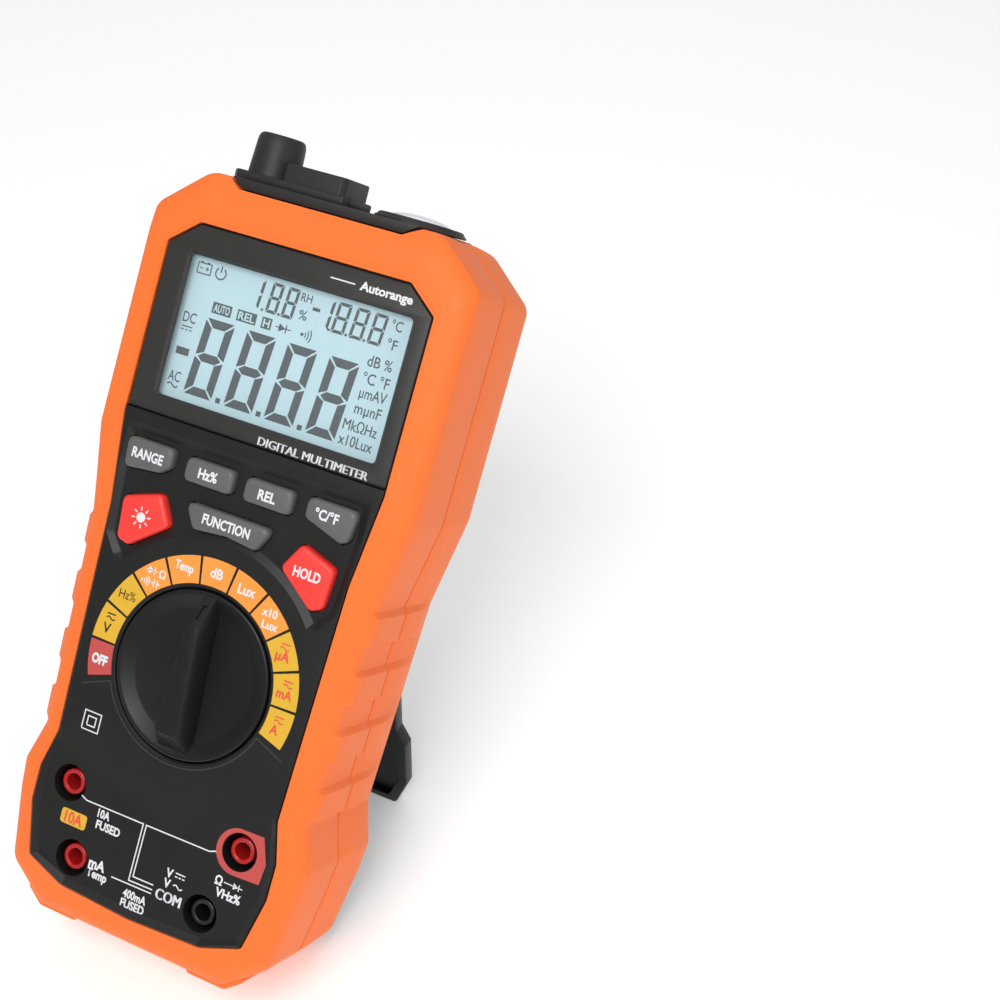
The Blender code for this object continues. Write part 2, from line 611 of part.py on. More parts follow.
def sensors():
    """Deck in the top edge, sensor housing, light sensor, and the parts under them."""
    deck = block("sensor_deck", (-24.2, 24.2), (DECK_LOW_Y, 115.6), (-34.0, -6.3), BLACK)
    lip = [(-21.3, 113.5), (21.3, 113.5), (24.6, 115.6), (-24.6, 115.6)]
    join(deck, prism("deck_lip", lip, -36.5, -3.4))
    cut(deck, block("deck_hollow", (-15.5, 7.5), (108.0, 114.2), (-24.5, -8.5)))
    cut(deck, pin("cap_hole", 5.0, 108.0, 118.0, (MIC_X + 3.4, 0.0, TOP_Z), steps=16, axis="y"))
    cut(deck, pin("light_hole", 3.6, 108.0, 118.0, (LIGHT_X, 0.0, TOP_Z), steps=14, axis="y"))
    base = [(-29.0, -11.0), (-27.0, -9.0), (1.6, -9.0), (3.0, -10.6), (3.0, -22.4), (1.6, -24.0),
            (-27.0, -24.0), (-29.0, -22.0)]
    cap = upright("sensor_cap", base, 116.1, 118.2, BLACK)
    tower = [(0.0, 117.0), (6.4, 117.0), (5.9, 127.3), (5.0, 128.4), (0.0, 128.4)]
    join(cap, turned("tower", tower, (MIC_X, 0.0, TOP_Z), steps=24, axis="y"))
    house = [(-15.0, -9.6), (0.2, -9.6), (1.3, -10.6), (1.3, -22.4), (0.2, -23.4), (-15.0, -23.4)]
    join(cap, upright("house", house, 117.0, 122.5))
    cut(cap, pin("tower_room", 4.6, 115.0, 126.4, (MIC_X, 0.0, TOP_Z), steps=18, axis="y"))
    cut(cap, pin("tower_mouth", 3.2, 125.0, 130.0, (MIC_X, 0.0, TOP_Z), steps=14, axis="y"))
    cut(cap, block("house_room", (-12.4, -0.6), (115.0, 121.0), (-21.8, -11.2)))
    for step in range(3):
        x = -10.0 + 4.0 * step
        cut(cap, block("vent", (x - 0.5, x + 0.5), (120.0, 124.0), (-20.5, -12.5)))
    pin("microphone", 4.1, 120.5, 125.4, (MIC_X, 0.0, TOP_Z), STEEL, steps=16, axis="y")
    block("humidity_sensor", (-9.5, -3.5), (117.0, 119.4), (-20.0, -14.0), WHITE)
    turned("light_sensor_ring", [
        (7.8, 116.1), (11.2, 116.1), (11.2, 116.5), (10.4, 117.5), (8.4, 117.6), (7.8, 117.2),
    ], (LIGHT_X, 0.0, TOP_Z), BLACK, steps=32, axis="y")
    dome = [(0.0, 116.1), (7.5, 116.1), (7.5, 117.4), (6.2, 118.3), (3.6, 118.9), (0.0, 118.9)]
    turned("light_diffuser", dome, (LIGHT_X, 0.0, TOP_Z), WHITE, steps=24, axis="y")
    pin("photodiode", 2.6, 112.0, 115.4, (LIGHT_X, 0.0, TOP_Z), CERAMIC, steps=12, axis="y")
    block("sensor_board", (-21.0, 21.0), (105.2, 106.8), (-31.0, -15.2), BOARD_GREEN)


# ---- stand ------------------------------------------------------------------------------------

def tilt_stand():
    """The prop that swings out of the back about two stub pins, modelled folded and then opened."""
    origin = (0.0, PIVOT[0], PIVOT[1])
    back = BACK_Z + 0.2
    plate = [(x, PIVOT[0] - down) for x, down in stand_outline(0.0)]
    stand = prism("tilt_stand", plate, back, back + STAND_FLANGE, BLACK, origin)
    inner = [(x * 0.92, PIVOT[0] - down) for x, down in (
        (-STAND_ARM_X, 5.0), (STAND_ARM_X, 5.0), (STAND_ARM_X, 45.0), (-STAND_ARM_X, 45.0))]
    cut(stand, prism("arm_hollow", inner, back + STAND_THICK, 0.0))
    for side in (-1, 1):
        hollow = [(side * x, PIVOT[0] - down) for x, down in (
            (1.0, 47.0), (28.2, 47.0), (30.9, 50.5), (30.9, 64.0), (27.5, 71.8), (1.0, 71.8))]
        cut(stand, prism("foot_hollow", hollow, back + STAND_THICK, 0.0))
        join(stand, pin("stub", PIVOT_R, side * 29.0, side * 32.2, origin, steps=12, axis="x"))
    stand.rotation_euler = (STAND_OPEN, 0.0, 0.0)
    return stand


def lowest(pieces, angle):
    """Least height of the pieces' points when the meter leans back by an angle."""
    up = Vector((0.0, math.cos(angle), math.sin(angle)))
    return min(up.dot(piece.matrix_world @ vertex.co) for piece in pieces for vertex in piece.data.vertices)


def settle(stand):
    """Leans the meter until case edge and stand foot are level, and puts both on the table."""
    bpy.context.view_layer.update()
    others = [piece for piece in bpy.data.objects if piece.type == "MESH" and piece is not stand]
    low, high = math.radians(20.0), math.radians(60.0)
    for _ in range(40):
        angle = (low + high) / 2
        if lowest([stand], angle) < lowest(others, angle):
            high = angle
        else:
            low = angle
    LEAN.rotation_euler = (math.pi / 2 - angle, 0.0, 0.0)
    bpy.context.view_layer.update()
    points = [piece.matrix_world @ vertex.co for piece in others + [stand] for vertex in piece.data.vertices]
    middle_y = (min(p.y for p in points) + max(p.y for p in points)) / 2
    middle_x = (min(p.x for p in points) + max(p.x for p in points)) / 2
    LEAN.location = (-middle_x, -middle_y, -min(p.z for p in points))
    print("lean angle", round(math.degrees(angle), 2))


def smooth(piece):
    """Shades a piece smooth where its faces meet at a shallow angle."""
    piece.data.shade_smooth()
    piece.data.set_sharp_from_angle(angle=math.radians(30.0))


def main():
    """Builds every piece, then leans the meter on its stand."""
    global LEAN
    for old in list(bpy.data.objects):
        bpy.data.objects.remove(old)
    LEAN = bpy.data.objects.new("lean", None)
    bpy.context.collection.objects.link(LEAN)
    front_case()
    front_bumper()
    rear_case()
    rear_bumper()
    display()
    selector()
    buttons()
    electronics()
    jacks()
    fuse("fuse_10a", 3.15, 32.0, -31.0, -19.2)
    fuse("fuse_ma", 2.5, 20.0, -45.0, -18.4)
    power()
    sensors()
    for index, (x, y) in enumerate(CASE_SCREWS):
        screw("case_screw_%d" % (index + 1), x, y, -39.4, -37.9, -7.0, 2.0, 1.1)
    stand = tilt_stand()
    for piece in [item for item in bpy.data.objects if item.type == "MESH"]:
        smooth(piece)
    settle(stand)


main()
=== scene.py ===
"""Looks of a hand-held digital multimeter that leans back on its tilt stand.

Every piece is modelled in the meter's own face frame, in millimetres: x to the right, y up the face
and z out of it, with the origin at the centre of the selector knob.  The last step of each piece
lays it in the row frame, so that its object stays at the origin.
"""

import json
import logging
import math
from dataclasses import dataclass, field
from enum import Enum
from typing import Callable, Sequence

import bmesh
import bpy
from mathutils import Matrix, Vector


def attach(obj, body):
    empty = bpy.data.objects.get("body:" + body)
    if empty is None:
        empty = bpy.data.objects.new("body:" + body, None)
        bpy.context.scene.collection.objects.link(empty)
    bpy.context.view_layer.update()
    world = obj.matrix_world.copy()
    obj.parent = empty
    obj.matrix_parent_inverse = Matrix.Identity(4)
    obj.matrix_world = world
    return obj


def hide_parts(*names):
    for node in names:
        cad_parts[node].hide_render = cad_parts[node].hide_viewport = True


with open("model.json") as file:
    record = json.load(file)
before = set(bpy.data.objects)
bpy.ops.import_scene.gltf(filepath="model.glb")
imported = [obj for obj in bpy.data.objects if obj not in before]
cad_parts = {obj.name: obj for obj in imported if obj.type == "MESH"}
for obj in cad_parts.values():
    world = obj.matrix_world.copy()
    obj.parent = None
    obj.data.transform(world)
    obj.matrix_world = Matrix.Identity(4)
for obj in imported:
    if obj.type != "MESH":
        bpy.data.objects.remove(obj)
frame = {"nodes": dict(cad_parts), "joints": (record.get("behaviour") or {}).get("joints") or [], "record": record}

LOG = logging.getLogger("multimeter")
MM = 0.001
PRINT_SMOOTH = 10.0
Point = tuple[float, float]
Corner = tuple[float, float, float]


class Axis(Enum):
    """The face frame's axes, for turned pieces."""

    RIGHT = "x"
    UP = "y"
    OUT = "z"


class Join(Enum):
    """What a Boolean does with its tool."""

    CUT = "DIFFERENCE"
    ADD = "UNION"


# ---- finishes ---------------------------------------------------------------------------------

@dataclass(frozen=True)
class Finish:
    """A moulded or printed surface: its colour, gloss and fine grain.

    Lengths are in millimetres, and colours are linear.
    """

    name: str
    slot: str
    colour: tuple[float, float, float]
    roughness: float = 0.5
    metallic: float = 0.0
    grain: float = 0.35
    depth: float = 0.02
    mottle: float = 0.08
    coat: float = 0.0
    glow: float = 0.0
    alpha: float = 1.0
    soft: float = 0.0
    specular: float = 0.5

    def made(self) -> bpy.types.Material:
        """The finish as a node material, made once.

        Returns:
            The material, with grain and mottling on Object coordinates.
        """
        found = bpy.data.materials.get(self.name + "_finish")
        if found:
            return found
        material = bpy.data.materials.new(self.name + "_finish")
        material.use_nodes = True
        nodes, links = material.node_tree.nodes, material.node_tree.links
        shader = nodes["Principled BSDF"]
        shader.inputs["Metallic"].default_value = self.metallic
        shader.inputs["Coat Weight"].default_value = self.coat
        shader.inputs["Coat Roughness"].default_value = 0.15
        shader.inputs["Alpha"].default_value = self.alpha
        shader.inputs["Specular IOR Level"].default_value = self.specular
        shader.inputs["Sheen Weight"].default_value = self.soft
        shader.inputs["Sheen Roughness"].default_value = 0.6
        shader.inputs["Emission Strength"].default_value = self.glow
        shader.inputs["Emission Color"].default_value = (*self.colour, 1.0)
        where = nodes.new("ShaderNodeTexCoord")
        self._mottled(nodes, links, where, shader)
        self._grained(nodes, links, where, shader)
        return material

    def _mottled(self, nodes: bpy.types.Nodes, links: bpy.types.NodeLinks, where: bpy.types.Node,
                 shader: bpy.types.Node) -> None:
        """Varies the colour and the roughness a little over a few millimetres.

        Args:
            nodes: the material's nodes.
            links: the material's links.
            where: the node that gives Object coordinates.
            shader: the surface's shader node.
        """
        cloud = nodes.new("ShaderNodeTexNoise")
        cloud.inputs["Scale"].default_value = 1.0 / (6.0 * MM)
        cloud.inputs["Detail"].default_value = 4.0
        links.new(where.outputs["Object"], cloud.inputs["Vector"])
        blend = nodes.new("ShaderNodeMix")
        blend.data_type = "RGBA"
        dark = [channel * (1.0 - self.mottle) for channel in self.colour]
        light = [min(1.0, channel * (1.0 + self.mottle)) for channel in self.colour]
        blend.inputs["A"].default_value = (*dark, 1.0)
        blend.inputs["B"].default_value = (*light, 1.0)
        links.new(cloud.outputs["Fac"], blend.inputs["Factor"])
        links.new(blend.outputs["Result"], shader.inputs["Base Color"])
        spread = nodes.new("ShaderNodeMapRange")
        spread.inputs["To Min"].default_value = max(0.02, self.roughness - 0.06)
        spread.inputs["To Max"].default_value = min(1.0, self.roughness + 0.06)
        links.new(cloud.outputs["Fac"], spread.inputs["Value"])
        links.new(spread.outputs["Result"], shader.inputs["Roughness"])

    def _grained(self, nodes: bpy.types.Nodes, links: bpy.types.NodeLinks, where: bpy.types.Node,
                 shader: bpy.types.Node) -> None:
        """Adds the mould's fine texture as a bump.

        Args:
            nodes: the material's nodes.
            links: the material's links.
            where: the node that gives Object coordinates.
            shader: the surface's shader node.
        """
        if self.depth <= 0.0:
            return
        grit = nodes.new("ShaderNodeTexNoise")
        grit.inputs["Scale"].default_value = 1.0 / (self.grain * MM)
        grit.inputs["Detail"].default_value = 3.0
        grit.inputs["Roughness"].default_value = 0.7
        links.new(where.outputs["Object"], grit.inputs["Vector"])
        bump = nodes.new("ShaderNodeBump")
        bump.inputs["Strength"].default_value = 0.6
        bump.inputs["Distance"].default_value = self.depth * MM
        links.new(grit.outputs["Fac"], bump.inputs["Height"])
        links.new(bump.outputs["Normal"], shader.inputs["Normal"])


PANEL_BLACK = Finish("panel_black", "case_black", (0.0125, 0.0125, 0.0122), 0.42, grain=0.3, depth=0.03,
                     specular=0.3)
DECK_BLACK = Finish("deck_black", "case_black", (0.022, 0.022, 0.021), 0.5, grain=0.45, depth=0.07,
                    specular=0.35)
KNOB_BLACK = Finish("knob_black", "knob_black", (0.010, 0.010, 0.010), 0.38, grain=0.35, depth=0.03,
                    specular=0.3)
STAND_BLACK = Finish("stand_black", "stand_black", (0.008, 0.008, 0.008), 0.4, grain=0.4, depth=0.04,
                     specular=0.3)
ORANGE_RUBBER = Finish("orange_rubber", "rubber_orange", (0.96, 0.185, 0.03), 0.55, grain=0.5,
                       depth=0.05, mottle=0.035, soft=0.02, specular=0.28)
BEZEL_GREY = Finish("bezel_grey", "bezel_grey", (0.030, 0.030, 0.028), 0.38, grain=0.5, depth=0.05,
                    specular=0.35)
CAP_GREY = Finish("cap_grey", "cap_grey", (0.115, 0.115, 0.113), 0.45, grain=0.4, depth=0.035)
CAP_RED = Finish("cap_red", "cap_red", (0.95, 0.045, 0.035), 0.45, grain=0.4, depth=0.03, mottle=0.03)
JACK_RED = Finish("jack_red", "jack_red", (0.50, 0.012, 0.012), 0.32, grain=0.5, depth=0.02, coat=0.2)
JACK_BLACK = Finish("jack_black", "case_black", (0.010, 0.010, 0.010), 0.35, grain=0.5, depth=0.02)
WINDOW_CLEAR = Finish("window_clear", "window_clear", (0.9, 0.95, 0.96), 0.06, depth=0.0, mottle=0.0,
                      alpha=0.06)
LCD_PALE = Finish("lcd_pale", "lcd_pale", (0.43, 0.62, 0.68), 0.35, depth=0.0, mottle=0.03, glow=0.14)
LCD_INK = Finish("lcd_ink", "lcd_pale", (0.022, 0.036, 0.046), 0.5, depth=0.0, mottle=0.02, specular=0.2)
DOME_WHITE = Finish("dome_white", "diffuser_white", (0.8, 0.84, 0.88), 0.18, grain=0.8, depth=0.01, coat=0.6)
BRASS = Finish("brass_turned", "brass", (0.66, 0.52, 0.30), 0.3, 1.0, grain=0.2, depth=0.01)
STEEL = Finish("steel_plain", "steel", (0.42, 0.42, 0.42), 0.35, 1.0, grain=0.2, depth=0.01)
INK_WHITE = Finish("ink_white", "case_black", (0.78, 0.80, 0.82), 0.5, grain=0.3, depth=0.01, mottle=0.04)
INK_BLACK = Finish("ink_black", "case_black", (0.015, 0.012, 0.01), 0.5, grain=0.3, depth=0.01)
INK_RED = Finish("ink_red", "case_black", (0.78, 0.09, 0.05), 0.5, grain=0.3, depth=0.01, mottle=0.04)
INK_ROSE = Finish("ink_rose", "case_black", (0.55, 0.075, 0.066), 0.5, grain=0.3, depth=0.01, mottle=0.04)
INK_AMBER = Finish("ink_amber", "case_black", (0.95, 0.33, 0.045), 0.5, grain=0.3, depth=0.01, mottle=0.03)
INK_YELLOW = Finish("ink_yellow", "case_black", (0.76, 0.44, 0.027), 0.5, grain=0.3, depth=0.01, mottle=0.03)
# painted highlight: a lighter grey for the lit edge of the engraved groove round the dial
GROOVE_HIGHLIGHT_INK = Finish("groove_highlight_grey", "case_black", (0.045, 0.045, 0.045), 0.5, grain=0.3, depth=0.01)

CARRIED = {
    "case_black": PANEL_BLACK, "knob_black": KNOB_BLACK, "stand_black": STAND_BLACK,
    "rubber_orange": ORANGE_RUBBER, "cap_grey": CAP_GREY, "cap_red": CAP_RED, "bezel_grey": BEZEL_GREY,
    "window_clear": WINDOW_CLEAR, "lcd_pale": LCD_PALE, "diffuser_white": DOME_WHITE, "jack_red": JACK_RED,
    "brass": BRASS, "steel": STEEL,
    "board_green": Finish("board_green", "board_green", (0.015, 0.13, 0.05), 0.4, depth=0.02, coat=0.3),
    "ceramic": Finish("ceramic_pale", "ceramic", (0.72, 0.70, 0.64), 0.4, depth=0.01),
    "part_black": Finish("part_black", "part_black", (0.02, 0.02, 0.02), 0.5, depth=0.02),
    "silicone": Finish("silicone_soft", "silicone", (0.22, 0.22, 0.24), 0.6, depth=0.03),
}


# ---- the face frame ---------------------------------------------------------------------------

def face_place() -> Matrix:
    """The matrix from face millimetres (held as metres) to the row frame, from the selector's joint.

    Returns:
        The matrix, with its origin on the selector's axis.
    """
    joint = next(item for item in frame["joints"] if item["name"] == "selector_turn")
    out = Vector(joint["axis"]).normalized()
    right = Vector((1.0, 0.0, 0.0))
    up = out.cross(right)
    place = Matrix((right, up, out)).transposed().to_4x4()
    place.translation = Vector(joint["pos_m"])
    return place


FACE = face_place()


# ---- outlines ---------------------------------------------------------------------------------

def rounded(corners: Sequence[Corner], steps: int) -> list[Point]:
    """Rounds each corner of a closed outline by its own radius.

    Args:
        corners: (x, y, radius) of each corner, in order.
        steps: number of stretches in each rounded corner.

    Returns:
        The outline's points.
    """
    points = []
    for index, (x, y, radius) in enumerate(corners):
        here = Vector((x, y))
        if radius <= 0.0:
            points.append((x, y))
            continue
        before = Vector(corners[index - 1][:2]) - here
        after = Vector(corners[(index + 1) % len(corners)][:2]) - here
        reach = min(radius / math.tan(before.angle(after) / 2.0), before.length * 0.49, after.length * 0.49)
        start = here + before.normalized() * reach
        end = here + after.normalized() * reach
        for step in range(steps + 1):
            t = step / steps
            spot = start * (1 - t) ** 2 + here * (2 * t * (1 - t)) + end * t ** 2
            points.append((spot.x, spot.y))
    return points


def shifted(corners: Sequence[Point], offset: float, radius: float, steps: int = 5) -> list[Point]:
    """Moves every side of a convex outline outwards, then rounds its corners.

    Args:
        corners: the outline's corners, in order.
        offset: distance outwards, in millimetres.
        radius: radius of every corner afterwards.
        steps: number of stretches in each corner.

    Returns:
        The outline's points.
    """
    count = len(corners)
    centre = sum((Vector(corner) for corner in corners), Vector((0.0, 0.0))) / count
    sides = []
    for index in range(count):
        start = Vector(corners[index])
        along = Vector(corners[(index + 1) % count]) - start
        out = Vector((along.y, -along.x)).normalized()
        if out.dot(start - centre) < 0:
            out = -out
        sides.append((start + out * offset, along))
    moved = []
    for index in range(count):
        (p, d), (q, e) = sides[index - 1], sides[index]
        t = ((q.x - p.x) * e.y - (q.y - p.y) * e.x) / (d.x * e.y - d.y * e.x)
        spot = p + d * t
        moved.append((spot.x, spot.y, radius))
    return rounded(moved, steps)


def mirrored(half: Sequence[Corner]) -> list[Corner]:
    """Completes a half outline whose first and last corners lie on x = 0."""
    return list(half) + [(-x, y, radius) for x, y, radius in reversed(half[1:-1])]


def arc(radius: float, start: float, end: float, steps: int, centre: Point = (0.0, 0.0)) -> list[Point]:
    """Points on an arc, from one angle to another, in degrees."""
    angles = [math.radians(start + (end - start) * step / steps) for step in range(steps + 1)]
    return [(centre[0] + radius * math.cos(a), centre[1] + radius * math.sin(a)) for a in angles]


def box_outline(x: Point, y: Point) -> list[Point]:
    """Corners of a rectangle."""
    return [(x[0], y[0]), (x[1], y[0]), (x[1], y[1]), (x[0], y[1])]


# ---- modelling steps --------------------------------------------------------------------------

def deselect() -> None:
    """Leaves nothing selected."""
    if bpy.context.object and bpy.context.object.mode != "OBJECT":
        bpy.ops.object.mode_set(mode="OBJECT")
    bpy.ops.object.select_all(action="DESELECT")


def pick(piece: bpy.types.Object) -> None:
    """Makes one object the only selected and the active one.

    Args:
        piece: the object.
    """
    deselect()
    piece.select_set(True)
    bpy.context.view_layer.objects.active = piece


def hoop(name: str, points: Sequence[Vector], filled: bool = False) -> bpy.types.Object:
    """Adds a circle primitive and lays its vertices on the given points.

    Args:
        name: the new object's name.
        points: one place for each vertex, in face millimetres.
        filled: whether the loop gets a face.

    Returns:
        The new object, with its vertices numbered so that extruded copies keep their number.
    """
    deselect()
    fill = "NGON" if filled else "NOTHING"
    bpy.ops.mesh.primitive_circle_add(vertices=len(points), radius=MM, fill_type=fill)
    piece = bpy.context.object
    piece.name = name
    numbers = piece.data.attributes.new("number", "INT", "POINT")
    for index, vertex in enumerate(piece.data.vertices):
        vertex.co = Vector(points[index]) * MM
        numbers.data[index].value = index
    return piece


def lay_selected(points: Sequence[Vector]) -> None:
    """Puts each selected vertex on the point that has its number.

    Args:
        points: the places, in face millimetres.
    """
    shape = bmesh.from_edit_mesh(bpy.context.edit_object.data)
    number = shape.verts.layers.int["number"]
    for vertex in shape.verts:
        if vertex.select:
            vertex.co = Vector(points[vertex[number]]) * MM
    bmesh.update_edit_mesh(bpy.context.edit_object.data)


def skin(name: str, rings: Sequence[Sequence[Vector]], closed: bool = False) -> bpy.types.Object:
    """Extrudes a loop through a series of rings.

    Args:
        name: the new object's name.
        rings: loops of equal length, in face millimetres.
        closed: whether the last ring meets the first; otherwise both ends are capped.

    Returns:
        A closed shell.
    """
    piece = hoop(name, rings[0], filled=not closed)
    bpy.ops.object.mode_set(mode="EDIT")
    bpy.ops.mesh.select_all(action="SELECT")
    extrude = bpy.ops.mesh.extrude_edges_move if closed else bpy.ops.mesh.extrude_region_move
    for level in list(rings[1:]) + ([rings[0]] if closed else []):
        extrude()
        lay_selected(level)
    bpy.ops.mesh.select_all(action="SELECT")
    bpy.ops.mesh.remove_doubles(threshold=0.000002)
    bpy.ops.mesh.normals_make_consistent(inside=False)
    bpy.ops.object.mode_set(mode="OBJECT")
    return piece


def slab(name: str, outline: Sequence[Point], low: float, high: float) -> bpy.types.Object:
    """Pulls an outline along z, from one height to another."""
    return skin(name, [[Vector((x, y, z)) for x, y in outline] for z in (low, high)])


def lathe(name: str, profile: Sequence[Point], centre: Sequence[float], steps: int = 48,
          axis: Axis = Axis.OUT) -> bpy.types.Object:
    """Turns a profile about an axis.

    Args:
        name: the new object's name.
        profile: (radius, along) points; one that starts on the axis makes a solid piece, and one that
            starts away from it makes a ring.
        centre: a point on the axis.
        steps: number of stretches round the piece.
        axis: the direction of the axis.

    Returns:
        A closed shell.
    """
    ring_shaped = profile[0][0] > 0.0
    used = profile if ring_shaped else profile[1:-1]
    levels = []
    for radius, along in used:
        level = []
        for step in range(steps):
            a = 2 * math.pi * step / steps
            u, v = radius * math.cos(a), radius * math.sin(a)
            place = {Axis.OUT: (u, v, along), Axis.UP: (u, along, v), Axis.RIGHT: (along, u, v)}[axis]
            level.append(Vector(place) + Vector(centre))
        levels.append(level)
    return skin(name, levels, closed=ring_shaped)


def rod(name: str, radius: float, low: float, high: float, centre: Sequence[float], steps: int,
        axis: Axis = Axis.OUT) -> bpy.types.Object:
    """A plain cylinder between two places along its axis."""
    return lathe(name, [(0.0, low), (radius, low), (radius, high), (0.0, high)], centre, steps, axis)


def boolean(piece: bpy.types.Object, tool: bpy.types.Object, how: Join = Join.CUT) -> None:
    """Applies a Boolean with a tool, and removes the tool.

    Args:
        piece: the object to change.
        tool: the shape to cut away or to add.
        how: whether it is cut away or added.
    """
    pick(piece)
    modifier = piece.modifiers.new("shape", "BOOLEAN")
    modifier.operation = how.value
    modifier.object = tool
    bpy.ops.object.modifier_apply(modifier=modifier.name)
    bpy.data.objects.remove(tool)


def soften(piece: bpy.types.Object, width: float, segments: int = 2, angle: float = 35.0) -> None:
    """Rounds the piece's sharp edges.

    Args:
        piece: the object to round.
        width: the bevel's width in millimetres.
        segments: stretches across the bevel.
        angle: edges that turn by less than this, in degrees, stay as they are.
    """
    pick(piece)
    modifier = piece.modifiers.new("edges", "BEVEL")
    modifier.width = width * MM
    modifier.segments = segments
    modifier.limit_method = "ANGLE"
    modifier.angle_limit = math.radians(angle)
    modifier.use_clamp_overlap = True
    modifier.harden_normals = False
    bpy.ops.object.modifier_apply(modifier=modifier.name)


def lettering(name: str, words: str, centre: Point, height: float, z: float, narrow: float = 0.85,
              turn: float = 0.0, weight: float = 0.012, span: float = 0.0) -> bpy.types.Object:
    """Sets words as a thin raised mesh on the face.

    Args:
        name: the new object's name.
        words: what it says.
        centre: the middle of the words on the face.
        height: height of a capital letter, in millimetres.
        z: height of the surface that carries the words.
        narrow: width of the letters as a share of their normal width.
        turn: rotation in the face, in degrees.
        weight: how much the strokes are thickened, as a share of the letter's height.
        span: width of the whole word, in millimetres, in place of narrow.

    Returns:
        The mesh object, in face metres.
    """
    deselect()
    bpy.ops.object.text_add()
    text = bpy.context.object
    text.name = name
    text.data.body = words
    text.data.size = height / 0.72 * MM
    text.data.offset = 0.0 if "M" in words else weight * height * MM
    text.data.align_x = "CENTER"
    text.data.extrude = 0.012 * MM
    text.data.resolution_u = 3
    bpy.ops.object.convert(target="MESH")
    piece = bpy.context.object
    spots = [vertex.co for vertex in piece.data.vertices]
    middle = Vector(((min(s.x for s in spots) + max(s.x for s in spots)) / 2,
                     (min(s.y for s in spots) + max(s.y for s in spots)) / 2, 0.0))
    if span:
        narrow = span * MM / (max(s.x for s in spots) - min(s.x for s in spots))
    place = Matrix.Translation(Vector((centre[0], centre[1], z + 0.02)) * MM)
    place = place @ Matrix.Rotation(math.radians(turn), 4, "Z") @ Matrix.Diagonal((narrow, 1.0, 1.0, 1.0))
    piece.data.transform(place @ Matrix.Translation(-middle))
    if "M" in words and weight > 0.01:
        doubled(piece, weight * height * MM)
    return piece


def doubled(piece: bpy.types.Object, reach: float) -> None:
    """Thickens upright strokes by laying a second copy of the mesh beside the first.

    Args:
        piece: the lettering.
        reach: distance that each copy is moved from the middle, in metres.
    """
    pick(piece)
    bpy.ops.object.mode_set(mode="EDIT")
    bpy.ops.mesh.select_all(action="SELECT")
    bpy.ops.transform.translate(value=(-reach, 0.0, 0.0))
    bpy.ops.mesh.duplicate()
    bpy.ops.transform.translate(value=(2.0 * reach, 0.0, 0.0))
    bpy.ops.object.mode_set(mode="OBJECT")


def plate(name: str, outline: Sequence[Point], z: float) -> bpy.types.Object:
    """A thin printed patch on the face."""
    return slab(name, outline, z - 0.03, z + 0.02)


def stroke(points: Sequence[Point], width: float) -> list[Point]:
    """Outline of a line of even width.

    Args:
        points: the middle of the line, in order.
        width: the line's width.

    Returns:
        The outline's points.
    """
    left, right = [], []
    for index, point in enumerate(points):
        here = Vector(point)
        before = here - Vector(points[index - 1]) if index else None
        after = Vector(points[index + 1]) - here if index + 1 < len(points) else None
        along = ((before.normalized() if before else Vector((0.0, 0.0)))
                 + (after.normalized() if after else Vector((0.0, 0.0)))).normalized()
        side = Vector((-along.y, along.x))
        near = (before or after).normalized()
        lean = side.dot(Vector((-near.y, near.x)))
        reach = width / 2 / max(lean, 0.3)
        left.append(tuple(here + side * reach))
        right.append(tuple(here - side * reach))
    return left + right[::-1]


def wave(x: float, y: float, wide: float, high: float, thick: float) -> list[Point]:
    """Outline of one period of a wave, as the sign for alternating current.

    Args:
        x: the wave's middle.
        y: the wave's middle height.
        wide: its length.
        high: its height above the middle.
        thick: the width of its line.

    Returns:
        The outline's points.
    """
    steps = 16
    line = []
    for step in range(steps + 1):
        share = step / steps
        line.append((x + wide * (share - 0.5), y + high * math.sin(2 * math.pi * share)))
    return stroke(line, thick)


def fuse(pieces: Sequence[bpy.types.Object], name: str) -> bpy.types.Object:
    """Joins several printed meshes into one object.

    Args:
        pieces: the meshes.
        name: the name of the joined object.

    Returns:
        The joined object.
    """
    deselect()
    for piece in pieces:
        piece.select_set(True)
    bpy.context.view_layer.objects.active = pieces[0]
    if len(pieces) > 1:
        bpy.ops.object.join()
    joined = bpy.context.object
    joined.name = name
    return joined


def settle(piece: bpy.types.Object, finish: Finish, body: str, *nodes: str, smooth: float = 32.0) -> None:
    """Dresses a finished piece, lays it in the row frame and hangs it on its body.

    Args:
        piece: the object, in face metres.
        finish: its finish.
        body: the CAD body that it rides on.
        nodes: CAD nodes that it stands for.
        smooth: faces that meet at less than this angle, in degrees, are shaded smooth.
    """
    pick(piece)
    bpy.ops.object.transform_apply(location=True, rotation=True, scale=True)
    piece.data.materials.clear()
    piece.data.materials.append(finish.made())
    for polygon in piece.data.polygons:
        polygon.material_index = 0
    bpy.ops.object.shade_smooth_by_angle(angle=math.radians(smooth))
    piece.data.transform(FACE)
    piece.data.update()
    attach(piece, body)
    if nodes:
        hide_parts(*nodes)
    LOG.info("%s: %d faces on %s", piece.name, len(piece.data.polygons), body)


@dataclass
class Piece:
    """A modelled object that waits for its finish."""

    shape: bpy.types.Object
    finish: Finish
    nodes: tuple[str, ...]
    smooth: float
    body: str


